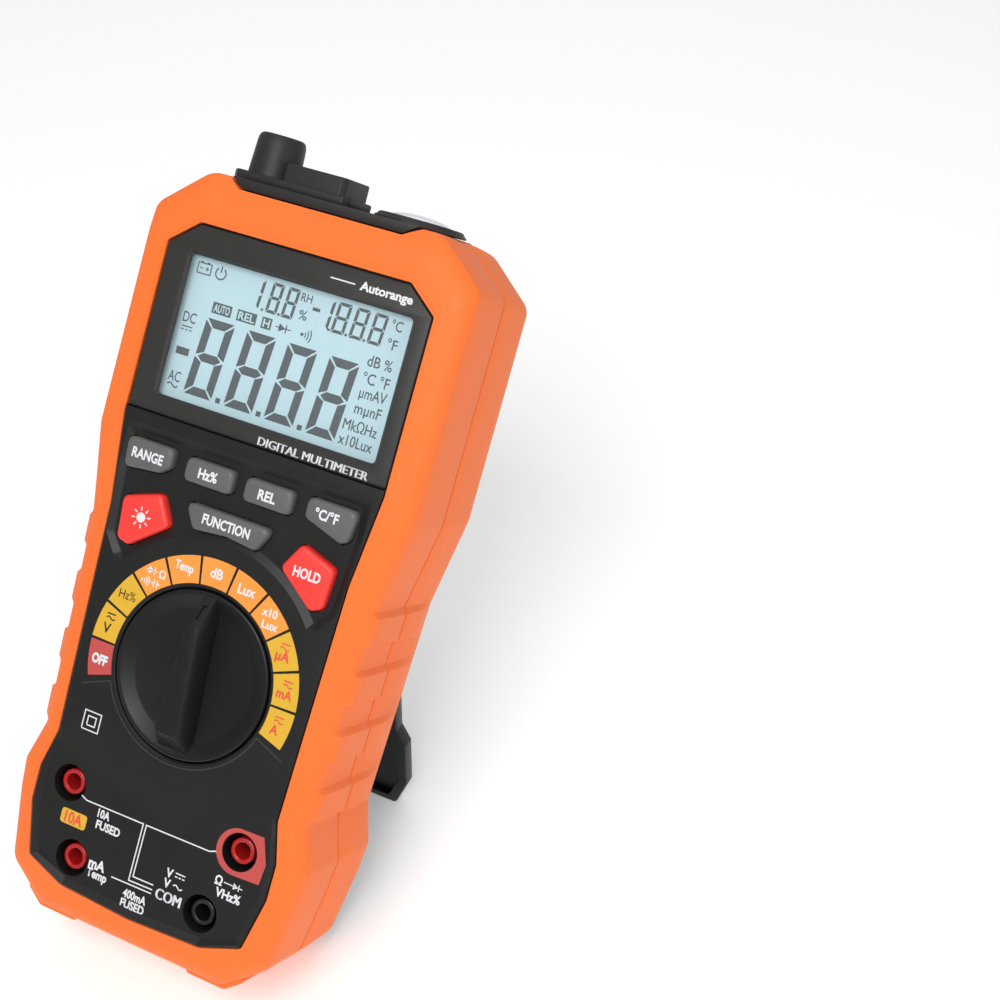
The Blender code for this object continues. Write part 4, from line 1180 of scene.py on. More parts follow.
@dataclass
class Dial(Assembly):
    """The printed ring of ranges round the selector."""

    inner: float = 22.05
    outer: float = 28.7
    start: float = 199.4
    step: float = 19.82
    divider: float = 0.7
    z: float = 0.0
    line_r: float = 22.4
    line_end: float = 30.6

    def sector(self, index: float, count: float = 1.0) -> bpy.types.Object:
        """A patch of the ring.

        Args:
            index: number of steps from the start, clockwise.
            count: number of steps that it covers.

        Returns:
            The patch.
        """
        a = self.start - self.step * index - self.divider
        b = self.start - self.step * (index + count) + self.divider
        parts = max(6, round(abs(a - b) / 2.0))
        outline = arc(self.inner, a, b, parts) + arc(self.outer, b, a, parts)
        return plate("sector", outline, self.z)

    def mark(self, text: str, index: float, height: float, span: float, shift: Point = (0.0, 0.0),
             weight: float = 0.04) -> bpy.types.Object:
        """Words in a sector, upright on the face.

        Args:
            text: the words.
            index: number of the sector, clockwise.
            height: height of a capital letter.
            span: width of the words.
            shift: distance from the middle of the sector.
            weight: how much the strokes are thickened.

        Returns:
            The words.
        """
        at = self.spot(index, 25.4) + Vector(shift)
        return lettering("mark", text, (at.x, at.y), height, self.z + 0.02, weight=weight, span=span)

    def spot(self, index: float, radius: float) -> Vector:
        """A point on the ring."""
        angle = math.radians(self.start - self.step * (index + 0.5))
        return Vector((radius * math.cos(angle), radius * math.sin(angle)))

    def component_signs(self, index: float) -> list[bpy.types.Object]:
        """Diode, ohm, sound and capacitor signs in one sector.

        Args:
            index: number of the sector.

        Returns:
            The signs.
        """
        at, z = self.spot(index, 25.4), self.z + 0.02
        x, y = at.x - 0.8, at.y + 1.25
        made = [plate("diode", [(x - 0.95, y - 0.95), (x + 0.6, y), (x - 0.95, y + 0.95)], z),
                plate("bar", box_outline((x + 0.6, x + 0.88), (y - 0.95, y + 0.95)), z),
                plate("line", box_outline((x - 1.6, x + 1.5), (y - 0.14, y + 0.14)), z),
                lettering("ohm", "Ω", (at.x + 2.2, y - 0.1), 1.9, z, weight=0.03, span=1.9)]
        x, y = at.x - 2.9, at.y - 1.55
        made.append(plate("dot", arc(0.32, 0.0, 330.0, 11, (x, y)), z))
        for step in range(3):
            bow = arc(0.75 + 0.6 * step, -38.0, 38.0, 8, (x, y))
            made.append(plate("bow", stroke(bow, 0.26), z))
        x = at.x + 0.9
        for side in (-1, 1):
            ends = sorted((x + side * 0.28, x + side * 0.58))
            made.append(plate("plate", box_outline(ends, (y - 0.95, y + 0.95)), z))
            ends = sorted((x + side * 0.5, x + side * 1.35))
            made.append(plate("lead", box_outline(ends, (y - 0.14, y + 0.14)), z))
        return made

    def both_kinds(self, index: float, up: float) -> list[bpy.types.Object]:
        """The sign for direct and alternating current, over the middle of a sector.

        Args:
            index: number of the sector.
            up: height of the sign over the middle.

        Returns:
            The bar and the wave.
        """
        at, z = self.spot(index, 25.4), self.z + 0.02
        x, y = at.x + 0.1, at.y + up
        return [plate("direct", box_outline((x - 1.2, x + 1.2), (y + 0.5, y + 0.84)), z),
                plate("alternating", wave(x, y - 0.42, 2.4, 0.34, 0.34), z)]

    def groove(self) -> bpy.types.Object:
        """A lighter grey printed line that stands for the fine engraved groove which bounds the ring and runs on
        round the well: a painted highlight of the groove's lit edge.

        Returns:
            The line.
        """
        first, last = self.start + 3.0, self.start - 11 * self.step - 3.0
        rim = arc(self.line_r, first, last + 360.0, 80)
        ends = [tuple(Vector((math.cos(a), math.sin(a))) * self.line_end)
                for a in (math.radians(first), math.radians(last))]
        return plate("dial_groove_highlight", stroke([ends[0]] + rim + [ends[1]], 0.22), self.z)

    def build(self) -> None:
        """Models the coloured patches and their words."""
        groups = (("dial_off", 0, 1, INK_ROSE), ("dial_volts", 1, 3, INK_YELLOW),
                  ("dial_sensors", 3, 8, INK_AMBER), ("dial_amperes", 8, 11, INK_YELLOW))
        for name, first, last, ink in groups:
            self.keep_print(fuse([self.sector(index) for index in range(first, last)], name), ink)
        white = self.component_signs(3) + [
            self.mark("OFF", 0, 2.35, 4.4, (0.0, -0.3), 0.07),
            self.mark("Temp", 4, 2.2, 5.1, (-0.2, 0.2)),
            self.mark("dB", 5, 2.4, 3.4),
            self.mark("Lux", 6, 2.4, 4.8, (0.1, 0.1)),
            self.mark("x10", 7, 2.0, 4.1, (-0.3, 1.35)),
            self.mark("Lux", 7, 2.0, 4.3, (0.5, -1.5)),
        ]
        black = [
            self.mark("V", 1, 2.5, 2.2, (-0.3, -1.1), 0.03),
            self.mark("Hz%", 2, 2.3, 4.7, (0.0, 0.1), 0.0),
        ] + self.both_kinds(1, 1.9)
        red = [self.mark("µA", 8, 2.4, 3.8, (0.0, -0.9)), self.mark("mA", 9, 2.3, 4.2, (-0.2, -0.9)),
               self.mark("A", 10, 2.4, 2.2, (-0.6, -0.9))]
        for index in (8, 9, 10):
            red += self.both_kinds(index, 1.6)
        self.keep_print(fuse(white, "dial_white_print"), INK_WHITE)
        self.keep_print(fuse(black, "dial_black_print"), INK_BLACK)
        self.keep_print(fuse(red, "dial_red_print"), INK_RED)
        # the groove round the dial is painted as a lighter grey line, a painted highlight of its lit edge
        self.keep_print(self.groove(), GROOVE_HIGHLIGHT_INK)


@dataclass
class Selector(Assembly):
    """The turning knob: a dished disc with a wedge-shaped pointer handle."""

    body: str = "selector"
    radius: float = 20.6
    dish: float = 15.9
    rim_in: float = 19.3
    crest_z: float = 5.6

    def disc(self) -> bpy.types.Object:
        """The dished disc with its rolled rim.

        Returns:
            The disc.
        """
        profile = [(0.0, -3.1), (self.radius - 0.4, -3.1), (self.radius, -2.6), (self.radius, -0.35),
                   (self.radius - 0.12, -0.05), (self.radius - 0.4, 0.09), (self.rim_in + 0.25, 0.09),
                   (self.rim_in, -0.02), (self.dish + 0.4, -0.98), (self.dish, -1.1), (0.0, -1.1)]
        return lathe("knob", profile, (0.0, 0.0, 0.0), 128)

    def outline(self, share: float, z: float, grow: float = 0.0) -> list[Vector]:
        """Outline of the handle at one height.

        Args:
            share: 0 at the foot, 1 at the crest.
            z: height.
            grow: distance by which the outline is moved outwards.

        Returns:
            The outline's points.
        """
        foot = [(1.5, 20.0), (2.8, 15.7), (3.25, 8.0), (3.7, 0.0), (4.25, -8.0), (4.7, -15.5), (3.9, -18.6)]
        crest = [(1.5, 12.6), (1.75, 10.5), (2.05, 6.0), (2.5, 0.0), (2.95, -7.0), (3.3, -12.5), (2.6, -14.2)]
        side = []
        for (a, b), (c, d) in zip(foot, crest):
            x, y = a + (c - a) * share, b + (d - b) * share
            side.append((x + grow, y + grow * (1.0 if b > 16 else -1.0 if b < -16 else 0.0)))
        points = side + [(-x, y) for x, y in reversed(side)]
        return [Vector((x, y, z)) for x, y in points]

    def handle(self) -> bpy.types.Object:
        """The handle: steep flanks, a flat crest and a long sloped nose.

        Returns:
            The handle.
        """
        levels = [self.outline(0.0, -2.0), self.outline(0.0, -0.2), self.outline(0.96, self.crest_z - 0.4),
                  self.outline(1.0, self.crest_z, -0.25)]
        return skin("handle", levels)

    def build(self) -> None:
        """Models the knob and its pointer mark."""
        knob = self.disc()
        handle = self.handle()
        soften(handle, 0.16, 2, 25.0)
        boolean(knob, handle, Join.ADD)
        boolean(knob, rod("shaft", 4.6, -9.6, -2.0, (0, 0, 0), 32), Join.ADD)
        slot_rings = []
        for wide, drop in ((0.35, 0.5), (0.6, 0.0), (0.8, -1.0)):
            ring = box_outline((-wide, wide), (14.3, 17.7))
            slot_rings.append([Vector((x, y, self.nose_z(y) - drop)) for x, y in ring])
        boolean(knob, skin("pointer_slot", slot_rings))
        self.keep(knob, KNOB_BLACK, "selector_knob", smooth=26.0)

    def nose_z(self, y: float) -> float:
        """Height of the nose's slope at a place along the handle."""
        return self.crest_z - (y - 12.4) * 5.9 / 7.6


# ---- buttons ----------------------------------------------------------------------------------

@dataclass
class Button(Assembly):
    """One cap with its flange, its plunger and the sign on it."""

    name: str = ""
    sign: str = ""
    sign_at: Point = (0.0, 0.0)
    sign_height: float = 2.4
    sign_span: float = 5.0
    height: float = 1.3

    def __post_init__(self) -> None:
        """Each cap rides on the body that has its own name."""
        self.body = self.name

    def corners(self) -> list[Point]:
        """The cap's corners on the face."""
        return BUTTONS[self.name]

    def cap(self) -> bpy.types.Object:
        """The cap: a straight wall and a broad rounded edge.

        Returns:
            The cap.
        """
        levels = [(0.75, -3.8, 2.0), (0.75, -2.8, 2.0), (0.0, -2.8, 1.8), (0.0, self.height - 1.0, 1.8),
                  (-0.10, self.height - 0.62, 1.75), (-0.32, self.height - 0.28, 1.65),
                  (-0.65, self.height - 0.07, 1.5), (-1.05, self.height, 1.2)]
        rings = [[Vector((x, y, z)) for x, y in shifted(self.corners(), grow, radius, 6)]
                 for grow, z, radius in levels]
        return skin(self.name + "_cap", rings)

    def build(self) -> None:
        """Models the cap and its sign."""
        cap = self.cap()
        centre = sum((Vector(corner) for corner in self.corners()), Vector((0.0, 0.0))) / len(self.corners())
        boolean(cap, rod("plunger", 2.0, -8.0, -3.0, (centre.x, centre.y, 0), 24), Join.ADD)
        red = self.name in ("light_button", "hold_button")
        self.keep(cap, CAP_RED if red else CAP_GREY, self.name, smooth=34.0)
        if self.sign:
            sign = lettering(self.name + "_sign", self.sign, self.sign_at, self.sign_height, self.height,
                             weight=0.045, span=self.sign_span)
            self.keep_print(sign, INK_WHITE)
        else:
            self.keep_print(self.sun(), INK_WHITE)

    def sun(self) -> bpy.types.Object:
        """The lamp sign: a disc with rays.

        Returns:
            The sign.
        """
        x, y = self.sign_at
        parts = [plate("disc", arc(1.2, 0.0, 345.0, 23, (x, y)), self.height)]
        for step in range(8):
            angle = math.radians(45.0 * step + 10.0)
            start = Vector((math.cos(angle), math.sin(angle)))
            line = [tuple(Vector((x, y)) + start * 1.65), tuple(Vector((x, y)) + start * 2.6)]
            parts.append(plate("ray", stroke(line, 0.34), self.height))
        return fuse(parts, self.name + "_sign")


# ---- sockets ----------------------------------------------------------------------------------

@dataclass
class Sockets(Assembly):
    """Four shrouded sockets with their contacts."""

    sleeve_r: float = 3.15
    bore_r: float = 2.1
    top_z: float = -2.2
    well_r: float = 4.6

    def sleeve(self, name: str, centre: Point) -> bpy.types.Object:
        """An insulating sleeve with a rounded lip.

        Args:
            name: the socket's name.
            centre: its place on the face.

        Returns:
            The sleeve.
        """
        top = self.top_z
        profile = [(self.bore_r + 0.25, top), (self.sleeve_r - 0.25, top), (self.sleeve_r - 0.06, top - 0.1),
                   (self.sleeve_r, top - 0.35), (self.sleeve_r, -8.6), (self.well_r - 0.3, -9.2),
                   (self.well_r - 0.3, -11.7), (3.3, -11.7), (3.3, -8.9), (self.bore_r, -8.9),
                   (self.bore_r, top - 0.35), (self.bore_r + 0.06, top - 0.1)]
        return lathe("sleeve_" + name, profile, (*centre, 0.0), 64)

    def build(self) -> None:
        """Models the sleeves and the metal contacts."""
        for name, centre in JACKS.items():
            finish = JACK_BLACK if name == "com" else JACK_RED
            self.keep(self.sleeve(name, centre), finish, "jack_sleeve_" + name)
            profile = [(2.0, -9.35), (2.05, -9.3), (2.85, -9.3), (2.9, -9.35), (2.9, -21.0), (2.0, -21.0)]
            self.keep(lathe("contact_" + name, profile, (*centre, 0.0), 48), BRASS, "jack_contact_" + name)


@dataclass
class PanelPrint(Assembly):
    """The lines, patches and generic words on the panel."""

    key_z: float = -0.8
    panel_z: float = 0.0
    line: float = 0.32

    def line_mark(self, points: Sequence[Point], width: float = 0.0) -> bpy.types.Object:
        """A printed line."""
        return plate("line", stroke(points, width or self.line), self.key_z)

    def volt_patch(self) -> bpy.types.Object:
        """The red patch round the volt socket, with a round left end and cut right corners.

        Returns:
            The patch.
        """
        left = arc(5.75, 92.0, 268.0, 24, (23.4, -36.1))
        outline = left + [(30.8, -41.5), (31.3, -36.3), (29.1, -30.2)]
        patch = slab("volt_patch", outline, self.key_z - 0.03, self.key_z + 0.02)
        x, y = JACKS["volt"]
        boolean(patch, rod("clear", 4.7, -2.0, 1.0, (x, y, 0.0), 48))
        return patch

    def amp_label(self) -> bpy.types.Object:
        """The yellow label under the large current socket."""
        corners = box_outline((-25.2, -17.8), (-46.7, -42.9))
        return slab("amp_label", shifted(corners, 0.0, 0.9), self.key_z - 0.03, self.key_z + 0.02)

    def square_sign(self) -> list[bpy.types.Object]:
        """The double-insulation sign: a square in a square.

        Returns:
            The two squares.
        """
        made = []
        for low, high in ((0.0, 4.7), (1.2, 3.5)):
            x, y = -25.3 + low, -22.2 + low
            side = high - low
            corners = [(x, y), (x + side, y), (x + side, y + side), (x, y + side), (x, y + 0.15)]
            made.append(plate("square", stroke(corners, 0.3), self.panel_z))
        return made

    def build(self) -> None:
        """Models the printed marks."""
        words = (("COM", 8.9, -53.5, 2.8, 7.0), ("mA", -12.0, -53.2, 2.6, 4.7),
                 ("Temp", -11.4, -56.0, 2.2, 5.8),
                 ("10A", -13.6, -40.8, 2.1, 3.5), ("FUSED", -11.6, -43.6, 2.1, 7.0),
                 ("400mA", 0.1, -56.8, 2.1, 6.6), ("FUSED", 0.1, -59.3, 2.1, 6.8),
                 ("Ω", 20.6, -44.2, 2.2, 2.0), ("VHz%", 23.9, -47.0, 2.2, 6.9),
                 ("V", 7.6, -47.6, 2.2, 1.9), ("V", 7.6, -50.2, 2.2, 1.9))
        white = [lettering("word", text, (x, y), high, self.key_z, weight=0.045, span=span)
                 for text, x, y, high, span in words]
        white += [
            self.line_mark([(-20.9, -38.4), (-19.2, -39.1), (-2.6, -38.9), (-2.6, -53.5), (4.2, -53.3)]),
            self.line_mark([(18.1, -37.9), (16.2, -38.6), (-1.7, -38.9), (-1.7, -52.2), (4.2, -52.1)]),
            self.line_mark([(-7.4, -54.5), (4.2, -54.3)]),
            plate("direct", box_outline((9.2, 11.9), (-47.1, -46.8)), self.key_z),
            plate("alternating", wave(10.6, -50.2, 2.6, 0.4, 0.32), self.key_z),
            plate("diode", [(24.6, -45.0), (26.0, -44.2), (24.6, -43.4)], self.key_z),
            plate("diode", box_outline((26.0, 26.25), (-45.0, -43.4)), self.key_z),
            plate("diode", box_outline((22.0, 27.1), (-44.33, -44.07)), self.key_z),
        ]
        for x in (9.2, 10.2, 11.2):
            white.append(plate("dash", box_outline((x, x + 0.7), (-48.0, -47.7)), self.key_z))
        white += self.square_sign()
        self.keep_print(fuse(white, "panel_white_print"), INK_WHITE)
        self.keep_print(self.volt_patch(), INK_ROSE)
        self.keep_print(self.amp_label(), INK_YELLOW)
        red = lettering("amp_word", "10A", (-21.5, -44.8), 2.9, self.key_z + 0.02, weight=0.04, span=5.2)
        self.keep_print(red, INK_RED)


# ---- top edge ---------------------------------------------------------------------------------

@dataclass
class TopSensors(Assembly):
    """The deck in the top edge, the sensor housing with its tower, and the light sensor."""

    mic_x: float = -21.5
    light_x: float = 19.4

    def upright(self, name: str, outline: Sequence[Point], low: float, high: float,
                taper: float = 0.0) -> bpy.types.Object:
        """Pulls an outline of (x, z) up along y.

        Args:
            name: the new object's name.
            outline: the corners.
            low: y of its foot.
            high: y of its top.
            taper: share by which its top is smaller.

        Returns:
            A closed shell.
        """
        middle = sum((Vector(point) for point in outline), Vector((0.0, 0.0))) / len(outline)
        rings = []
        for y, size in ((low, 1.0), (high, 1.0 - taper)):
            spots = [middle + (Vector(point) - middle) * size for point in outline]
            rings.append([Vector((spot.x, y, spot.y)) for spot in spots])
        return skin(name, rings)

    def deck(self) -> bpy.types.Object:
        """The black deck with its raised lip.

        Returns:
            The deck.
        """
        deck = slab("deck", box_outline((-24.2, 24.2), (110.2, 116.05)), -34.0, -6.3)
        soften(deck, 0.5, 2)
        lip = slab("deck_lip", [(-21.3, 113.5), (21.3, 113.5), (25.1, 116.05), (-25.1, 116.05)], -36.5, -3.4)
        soften(lip, 0.4, 2)
        boolean(deck, lip, Join.ADD)
        boolean(deck, slab("deck_hollow", box_outline((-15.5, 7.5), (108.0, 114.2)), -24.5, -8.5))
        boolean(deck, rod("cap_hole", 5.0, 108.0, 118.0, (self.mic_x + 3.4, 0.0, TOP_Z), 32, Axis.UP))
        boolean(deck, rod("light_hole", 3.6, 108.0, 118.0, (self.light_x, 0.0, TOP_Z), 32, Axis.UP))
        return deck

    def cap(self) -> bpy.types.Object:
        """The sensor housing: a base plate, a stepped house with vents, and a round tower.

        Returns:
            The housing.
        """
        base = [(-29.0, -11.0, 1.5), (-27.0, -9.0, 1.5), (1.6, -9.0, 1.0), (3.0, -10.6, 1.0),
                (3.0, -22.4, 1.0), (1.6, -24.0, 1.0), (-27.0, -24.0, 1.5), (-29.0, -22.0, 1.5)]
        cap = self.upright("cap", rounded(base, 3), 116.1, 118.2)
        soften(cap, 0.45, 2)
        house = [(-15.0, -9.6, 0.6), (0.2, -9.6, 0.8), (1.3, -10.6, 0.8), (1.3, -22.4, 0.8),
                 (0.2, -23.4, 0.8), (-15.0, -23.4, 0.6), (-16.9, -19.0, 0.4), (-16.9, -14.0, 0.4)]
        shell = self.upright("house", rounded(house, 3), 117.0, 122.5, 0.01)
        soften(shell, 0.4, 2)
        for step in range(3):
            x = -10.0 + 4.0 * step
            vent = box_outline((x - 0.5, x + 0.5), (-20.5, -12.5))
            boolean(shell, self.upright("vent", vent, 120.0, 124.0))
        boolean(cap, shell, Join.ADD)
        tower = [(0.0, 117.0), (6.4, 117.0), (5.92, 126.6), (5.75, 127.4), (5.4, 128.05), (4.8, 128.4),
                 (3.7, 128.4), (0.0, 128.4)]
        boolean(cap, lathe("tower", tower, (self.mic_x, 0.0, TOP_Z), 72, Axis.UP), Join.ADD)
        boolean(cap, rod("room", 4.6, 115.0, 126.4, (self.mic_x, 0.0, TOP_Z), 48, Axis.UP))
        mouth = [(0.0, 125.0), (3.2, 125.0), (3.2, 127.9), (3.75, 128.45), (3.75, 130.0), (0.0, 130.0)]
        boolean(cap, lathe("mouth", mouth, (self.mic_x, 0.0, TOP_Z), 48, Axis.UP))
        boolean(cap, self.upright("house_room", box_outline((-12.4, -0.6), (-21.8, -11.2)), 115.0, 121.0))
        return cap

    def build(self) -> None:
        """Models the deck, the housing and the light sensor."""
        self.keep(self.deck(), DECK_BLACK, "sensor_deck")
        self.keep(self.cap(), DECK_BLACK, "sensor_cap", smooth=28.0)
        ring = [(7.8, 116.1), (11.2, 116.1), (11.2, 116.45), (10.6, 116.9), (10.3, 117.35), (9.9, 117.55),
                (8.4, 117.6), (8.0, 117.45), (7.8, 117.1)]
        where = (self.light_x, 0.0, TOP_Z)
        self.keep(lathe("light_ring", ring, where, 96, Axis.UP), DECK_BLACK, "light_sensor_ring")
        dome = [(0.0, 116.1), (7.5, 116.1), (7.5, 117.3), (7.2, 117.7), (6.4, 118.15), (5.2, 118.5),
                (3.8, 118.73), (2.2, 118.85), (0.7, 118.9), (0.0, 118.9)]
        self.keep(lathe("light_dome", dome, where, 96, Axis.UP), DOME_WHITE, "light_diffuser")


# ---- back -------------------------------------------------------------------------------------

def stand_outline(offset: float, heel: float = 2.4) -> list[Point]:
    """The folded stand's outline as (x, distance down from the pivot).

    Args:
        offset: distance by which it is moved outwards, for its recess.
        heel: how far it reaches above the pivot.

    Returns:
        The outline's points.
    """
    arm, foot, end = 30.6 + offset, 33.2 + offset, 74.2 + offset
    return [(-arm, -heel), (arm, -heel), (arm, 44.5 - offset), (foot, 49.5 - offset), (foot, 65.0),
            (arm - 1.0, end), (1.0 - arm, end), (-foot, 65.0), (-foot, 49.5 - offset), (-arm, 44.5 - offset)]


PIVOT = (24.0, -37.2)


@dataclass
class RearShell(Assembly):
    """The black rear shell with the stand's recess and the battery bay, and the battery cover."""

    recess_z: float = -34.0
    floor_z: float = -38.0
    battery_y: float = -9.0
    bay: Point = (25.05, 14.05)
    wall: float = 1.2
    screws: tuple[Point, ...] = ((28.0, 104.4), (-28.0, 104.4), (27.0, -58.6), (-27.0, -58.6))

    def shell(self) -> bpy.types.Object:
        """The shell, cut out in the order in which it is moulded.

        Returns:
            The shell.
        """
        case = skin("rear_shell", [CASE.ring(0.63, SEAM_Z - 0.15), CASE.ring(0.63, BACK_Z + 0.2),
                                   CASE.ring(0.61, BACK_Z)])
        boolean(case, skin("main_room", [CASE.ring(0.40, 0.0), CASE.ring(0.40, self.recess_z + 2.2)]))
        boolean(case, slab("upper_room", box_outline((-33.0, 33.0), (31.5, 101.0)), self.floor_z, -10.0))
        boolean(case, slab("lower_room", box_outline((-24.0, 24.0), (-60.5, -53.6)), self.floor_z, -10.0))
        corners = [(x, PIVOT[0] - down, 1.2) for x, down in stand_outline(0.5, 4.4)]
        boolean(case, slab("stand_recess", rounded(corners, 4), BACK_Z - 3.0, self.recess_z))
        for side in (-1, 1):
            ends = sorted((side * 28.0, side * 32.8))
            boolean(case, rod("pivot_room", 2.3, *ends, (0.0, *PIVOT), 32, Axis.RIGHT))
        x, y = self.bay
        wide, tall = x + self.wall, y + self.wall
        boolean(case, slab("bay", box_outline((-wide, wide), (self.battery_y - tall, self.battery_y + tall)),
                           self.recess_z + 1.0, -16.2), Join.ADD)
        for place in self.screws:
            boolean(case, rod("boss", 2.8, -38.5, -13.9, (*place, 0), 24), Join.ADD)
            boolean(case, rod("shank", 1.5, -41.0, -10.0, (*place, 0), 16))
            head = [(0.0, -41.0), (2.9, -41.0), (2.3, -39.6), (2.3, -37.6), (0.0, -37.6)]
            boolean(case, lathe("head", head, (*place, 0), 32))
        bay_room = box_outline((-x, x), (self.battery_y - y, self.battery_y + y))
        boolean(case, slab("bay_room", bay_room, -41.0, -10.0))
        step = box_outline((-28.3, 28.3), (self.battery_y - 20.3, self.battery_y + 16.3))
        boolean(case, slab("cover_step", step, -41.0, -33.2))
        boolean(case, deck_room())
        return case

    def cover(self) -> bpy.types.Object:
        """The battery cover with its finger grooves and its screw's sink.

        Returns:
            The cover.
        """
        low, high = self.battery_y - 20.0, self.battery_y + 16.0
        cover = slab("cover", box_outline((-28.0, 28.0), (low, high)), -35.6, -33.5)
        soften(cover, 0.4, 2)
        hole = (0.0, self.battery_y - 17.6, 0.0)
        boolean(cover, lathe("sink", [(0.0, -37.0), (3.0, -37.0), (2.6, -35.3), (2.6, -34.7), (1.5, -34.7),
                                      (1.5, -32.0), (0.0, -32.0)], hole, 32))
        for number in range(4):
            y = high - 4.0 - 2.2 * number
            groove = [(-7.0 + 0.6 * number, y), (7.0 - 0.6 * number, y), (6.4 - 0.6 * number, y - 1.1),
                      (-6.4 + 0.6 * number, y - 1.1)]
            boolean(cover, slab("groove", groove, -36.5, -35.2))
        return cover

    def build(self) -> None:
        """Models the shell and its cover."""
        self.keep(self.shell(), PANEL_BLACK, "rear_case", smooth=26.0)
        self.keep(self.cover(), STAND_BLACK, "battery_cover")


@dataclass
class TiltStand(Assembly):
    """The prop that swings out of the back, modelled folded and swung about its stub pins."""

    body: str = "stand"
    opening: float = 35.6
    thick: float = 2.2
    flange: float = 3.8

    def build(self) -> None:
        """Models the stand with its hollows, its finger groove and its stub pins."""
        back = BACK_Z + 0.2
        corners = [(x, PIVOT[0] - down, 1.4) for x, down in stand_outline(0.0)]
        stand = slab("stand_plate", rounded(corners, 4), back, back + self.flange)
        soften(stand, 0.5, 2)
        hollows = [[(x * 0.92, PIVOT[0] - down, 1.5) for x, down in
                    ((-30.6, 5.0), (30.6, 5.0), (30.6, 45.0), (-30.6, 45.0))]]
        for side in (-1, 1):
            shape = ((1.0, 47.0), (28.2, 47.0), (30.9, 50.5), (30.9, 64.0), (27.5, 71.8), (1.0, 71.8))
            hollows.append([(side * x, PIVOT[0] - down, 1.0) for x, down in shape])
        for hollow in hollows:
            boolean(stand, slab("hollow", rounded(hollow, 4), back + self.thick, 0.0))
        window = [(-12.0, PIVOT[0] - 16.0, 3.0), (12.0, PIVOT[0] - 16.0, 3.0), (12.0, PIVOT[0] - 19.0, 3.0),
                  (-12.0, PIVOT[0] - 19.0, 3.0)]
        boolean(stand, slab("groove", rounded(window, 4), back - 1.0, back + 0.7))
        for side in (-1, 1):
            ends = sorted((side * 29.0, side * 32.2))
            pin = [(0.0, ends[0]), (1.75, ends[0]), (2.0, ends[0] + 0.3), (2.0, ends[1] - 0.3),
                   (1.75, ends[1]), (0.0, ends[1])]
            boolean(stand, lathe("stub", pin, (0.0, *PIVOT), 32, Axis.RIGHT), Join.ADD)
        pivot = Vector((0.0, *PIVOT)) * MM
        swing = Matrix.Translation(pivot) @ Matrix.Rotation(math.radians(self.opening), 4, "X")
        stand.data.transform(swing @ Matrix.Translation(-pivot))
        self.keep(stand, STAND_BLACK, "tilt_stand", smooth=28.0)


# ---- inside -----------------------------------------------------------------------------------

@dataclass
class Inside:
    """CAD pieces that keep their own shape: each gets the finish of its slot."""

    fallback: str = "case_black"

    def dress(self) -> None:
        """Gives every CAD node a procedural finish by the slot in the record."""
        slots = {part["node"]: part["material_slot"] for part in frame["record"]["subparts"]}
        for name, node in frame["nodes"].items():
            finish = CARRIED.get(slots.get(name, self.fallback), PANEL_BLACK)
            node.data.materials.clear()
            node.data.materials.append(finish.made())
        LOG.info("inside: %d nodes dressed", len(frame["nodes"]))


# ---- studio -----------------------------------------------------------------------------------

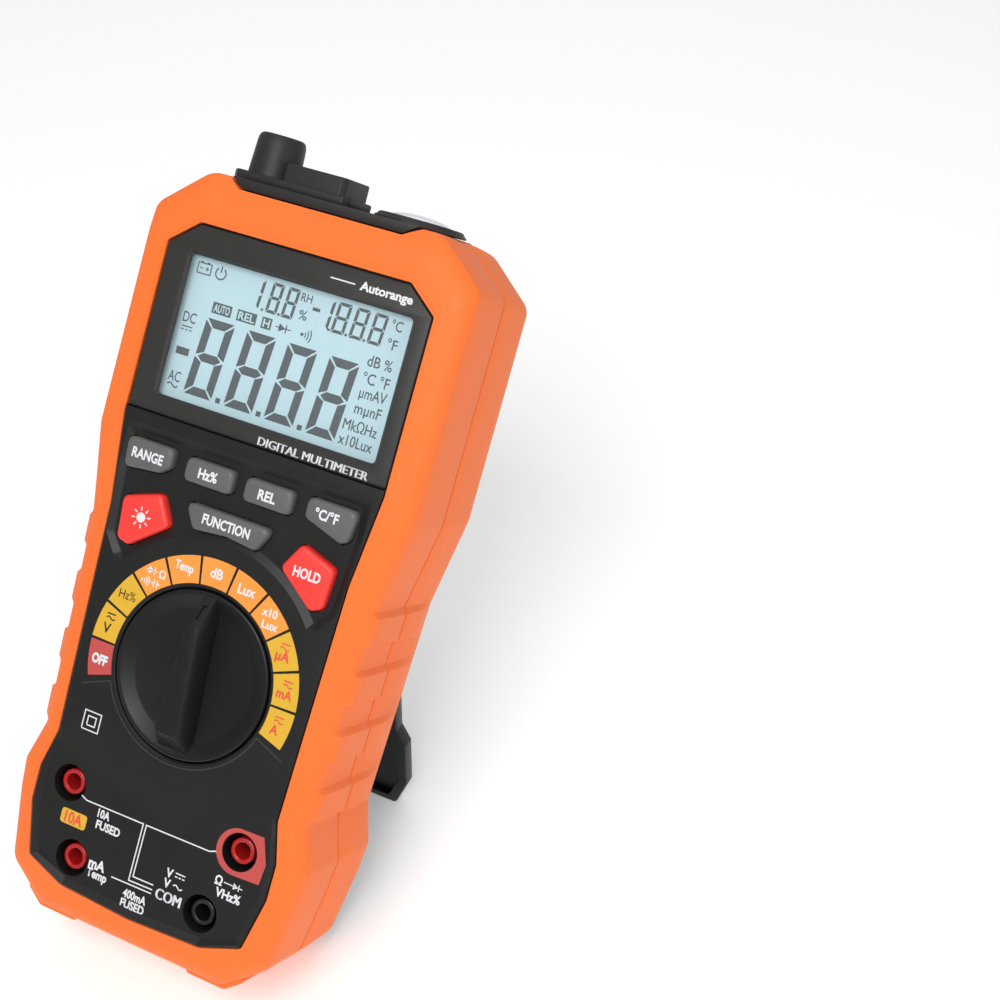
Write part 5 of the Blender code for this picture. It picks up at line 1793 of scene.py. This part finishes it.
@dataclass
class Studio:
    """Camera, soft lights, pale floor and surroundings."""

    eye: Corner = (184.4, 108.0, 347.7)
    right: Corner = (0.897, 0.271, -0.349)
    forward: Corner = (-0.328, -0.121, -0.937)
    lens: float = 60.6
    floor_size: float = 3.0
    floor_z: float = -0.0004
    sky_strength: float = 0.34

    def camera(self) -> None:
        """Places the camera, given in the face frame."""
        data = bpy.data.cameras.new("camera")
        data.lens = self.lens
        data.sensor_width = 36.0
        data.clip_start = 0.01
        camera = bpy.data.objects.new("camera", data)
        bpy.context.collection.objects.link(camera)
        back = -Vector(self.forward).normalized()
        right = (Vector(self.right) - back * back.dot(Vector(self.right))).normalized()
        pose = Matrix((right, back.cross(right), back)).transposed().to_4x4()
        pose.translation = Vector(self.eye) * MM
        camera.matrix_world = FACE @ pose
        bpy.context.scene.camera = camera

    def light(self, name: str, place: Corner, aim: Corner, size: float, power: float) -> None:
        """Adds a soft square light.

        Args:
            name: the light's name.
            place: where it hangs, in metres.
            aim: the point that it faces.
            size: the length of its side, in metres.
            power: its power in watts.
        """
        data = bpy.data.lights.new(name, "AREA")
        data.size = size
        data.energy = power
        lamp = bpy.data.objects.new(name, data)
        bpy.context.collection.objects.link(lamp)
        lamp.location = place
        lamp.rotation_euler = (Vector(aim) - Vector(place)).to_track_quat("-Z", "Y").to_euler()

    def build(self) -> None:
        """Sets up the whole studio."""
        self.camera()
        self.light("key", (0.09, -0.50, 0.82), (0.0, 0.0, 0.08), 0.45, 5.1)
        self.light("overhead", (-0.1, 0.45, 1.0), (0.0, 0.0, 0.05), 0.9, 2.6)
        self.light("right", (0.95, -0.25, 0.35), (0.0, 0.0, 0.08), 0.4, 1.4)
        world = bpy.data.worlds.new("surroundings")
        world.use_nodes = True
        sky = world.node_tree.nodes["Background"].inputs
        sky["Color"].default_value = (1.0, 1.0, 1.0, 1.0)
        sky["Strength"].default_value = self.sky_strength
        bpy.context.scene.world = world
        bpy.context.scene.view_settings.view_transform = "Standard"
        deselect()
        bpy.ops.mesh.primitive_plane_add(size=self.floor_size, location=(0.0, 0.0, self.floor_z))
        floor = bpy.context.object
        floor.name = "floor"
        finish = Finish("floor_pale", "case_black", (0.93, 0.93, 0.93), 0.7, grain=2.0, depth=0.01,
                        mottle=0.01, glow=0.28)
        floor.data.materials.append(finish.made())


def main() -> None:
    """Models the meter on its stand, then the studio."""
    logging.basicConfig(level=logging.INFO, format="%(message)s")
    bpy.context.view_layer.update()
    assemblies: list[Assembly] = [
        Bumper(), FrontShell(), Display(), Dial(), Selector(),
        Button(name="range_button", sign="RANGE", sign_at=(-25.4, 46.8), sign_span=8.7),
        Button(name="hz_button", sign="Hz%", sign_at=(-8.4, 47.0), sign_span=5.2),
        Button(name="rel_button", sign="REL", sign_at=(7.9, 46.9), sign_span=4.7),
        Button(name="temp_button", sign="°C/°F", sign_at=(23.9, 47.2), sign_span=6.2),
        Button(name="function_button", sign="FUNCTION", sign_at=(-0.4, 37.1), sign_span=13.0),
        Button(name="light_button", sign_at=(-23.0, 32.2)),
        Button(name="hold_button", sign="HOLD", sign_at=(22.9, 32.8), sign_span=7.2),
        Sockets(), PanelPrint(), TopSensors(), RearShell(), TiltStand(),
    ]
    Inside().dress()
    for assembly in assemblies:
        LOG.info("building %s", type(assembly).__name__)
        assembly.build()
        assembly.dress()
    Studio().build()


if __name__ == "__main__":
    main()
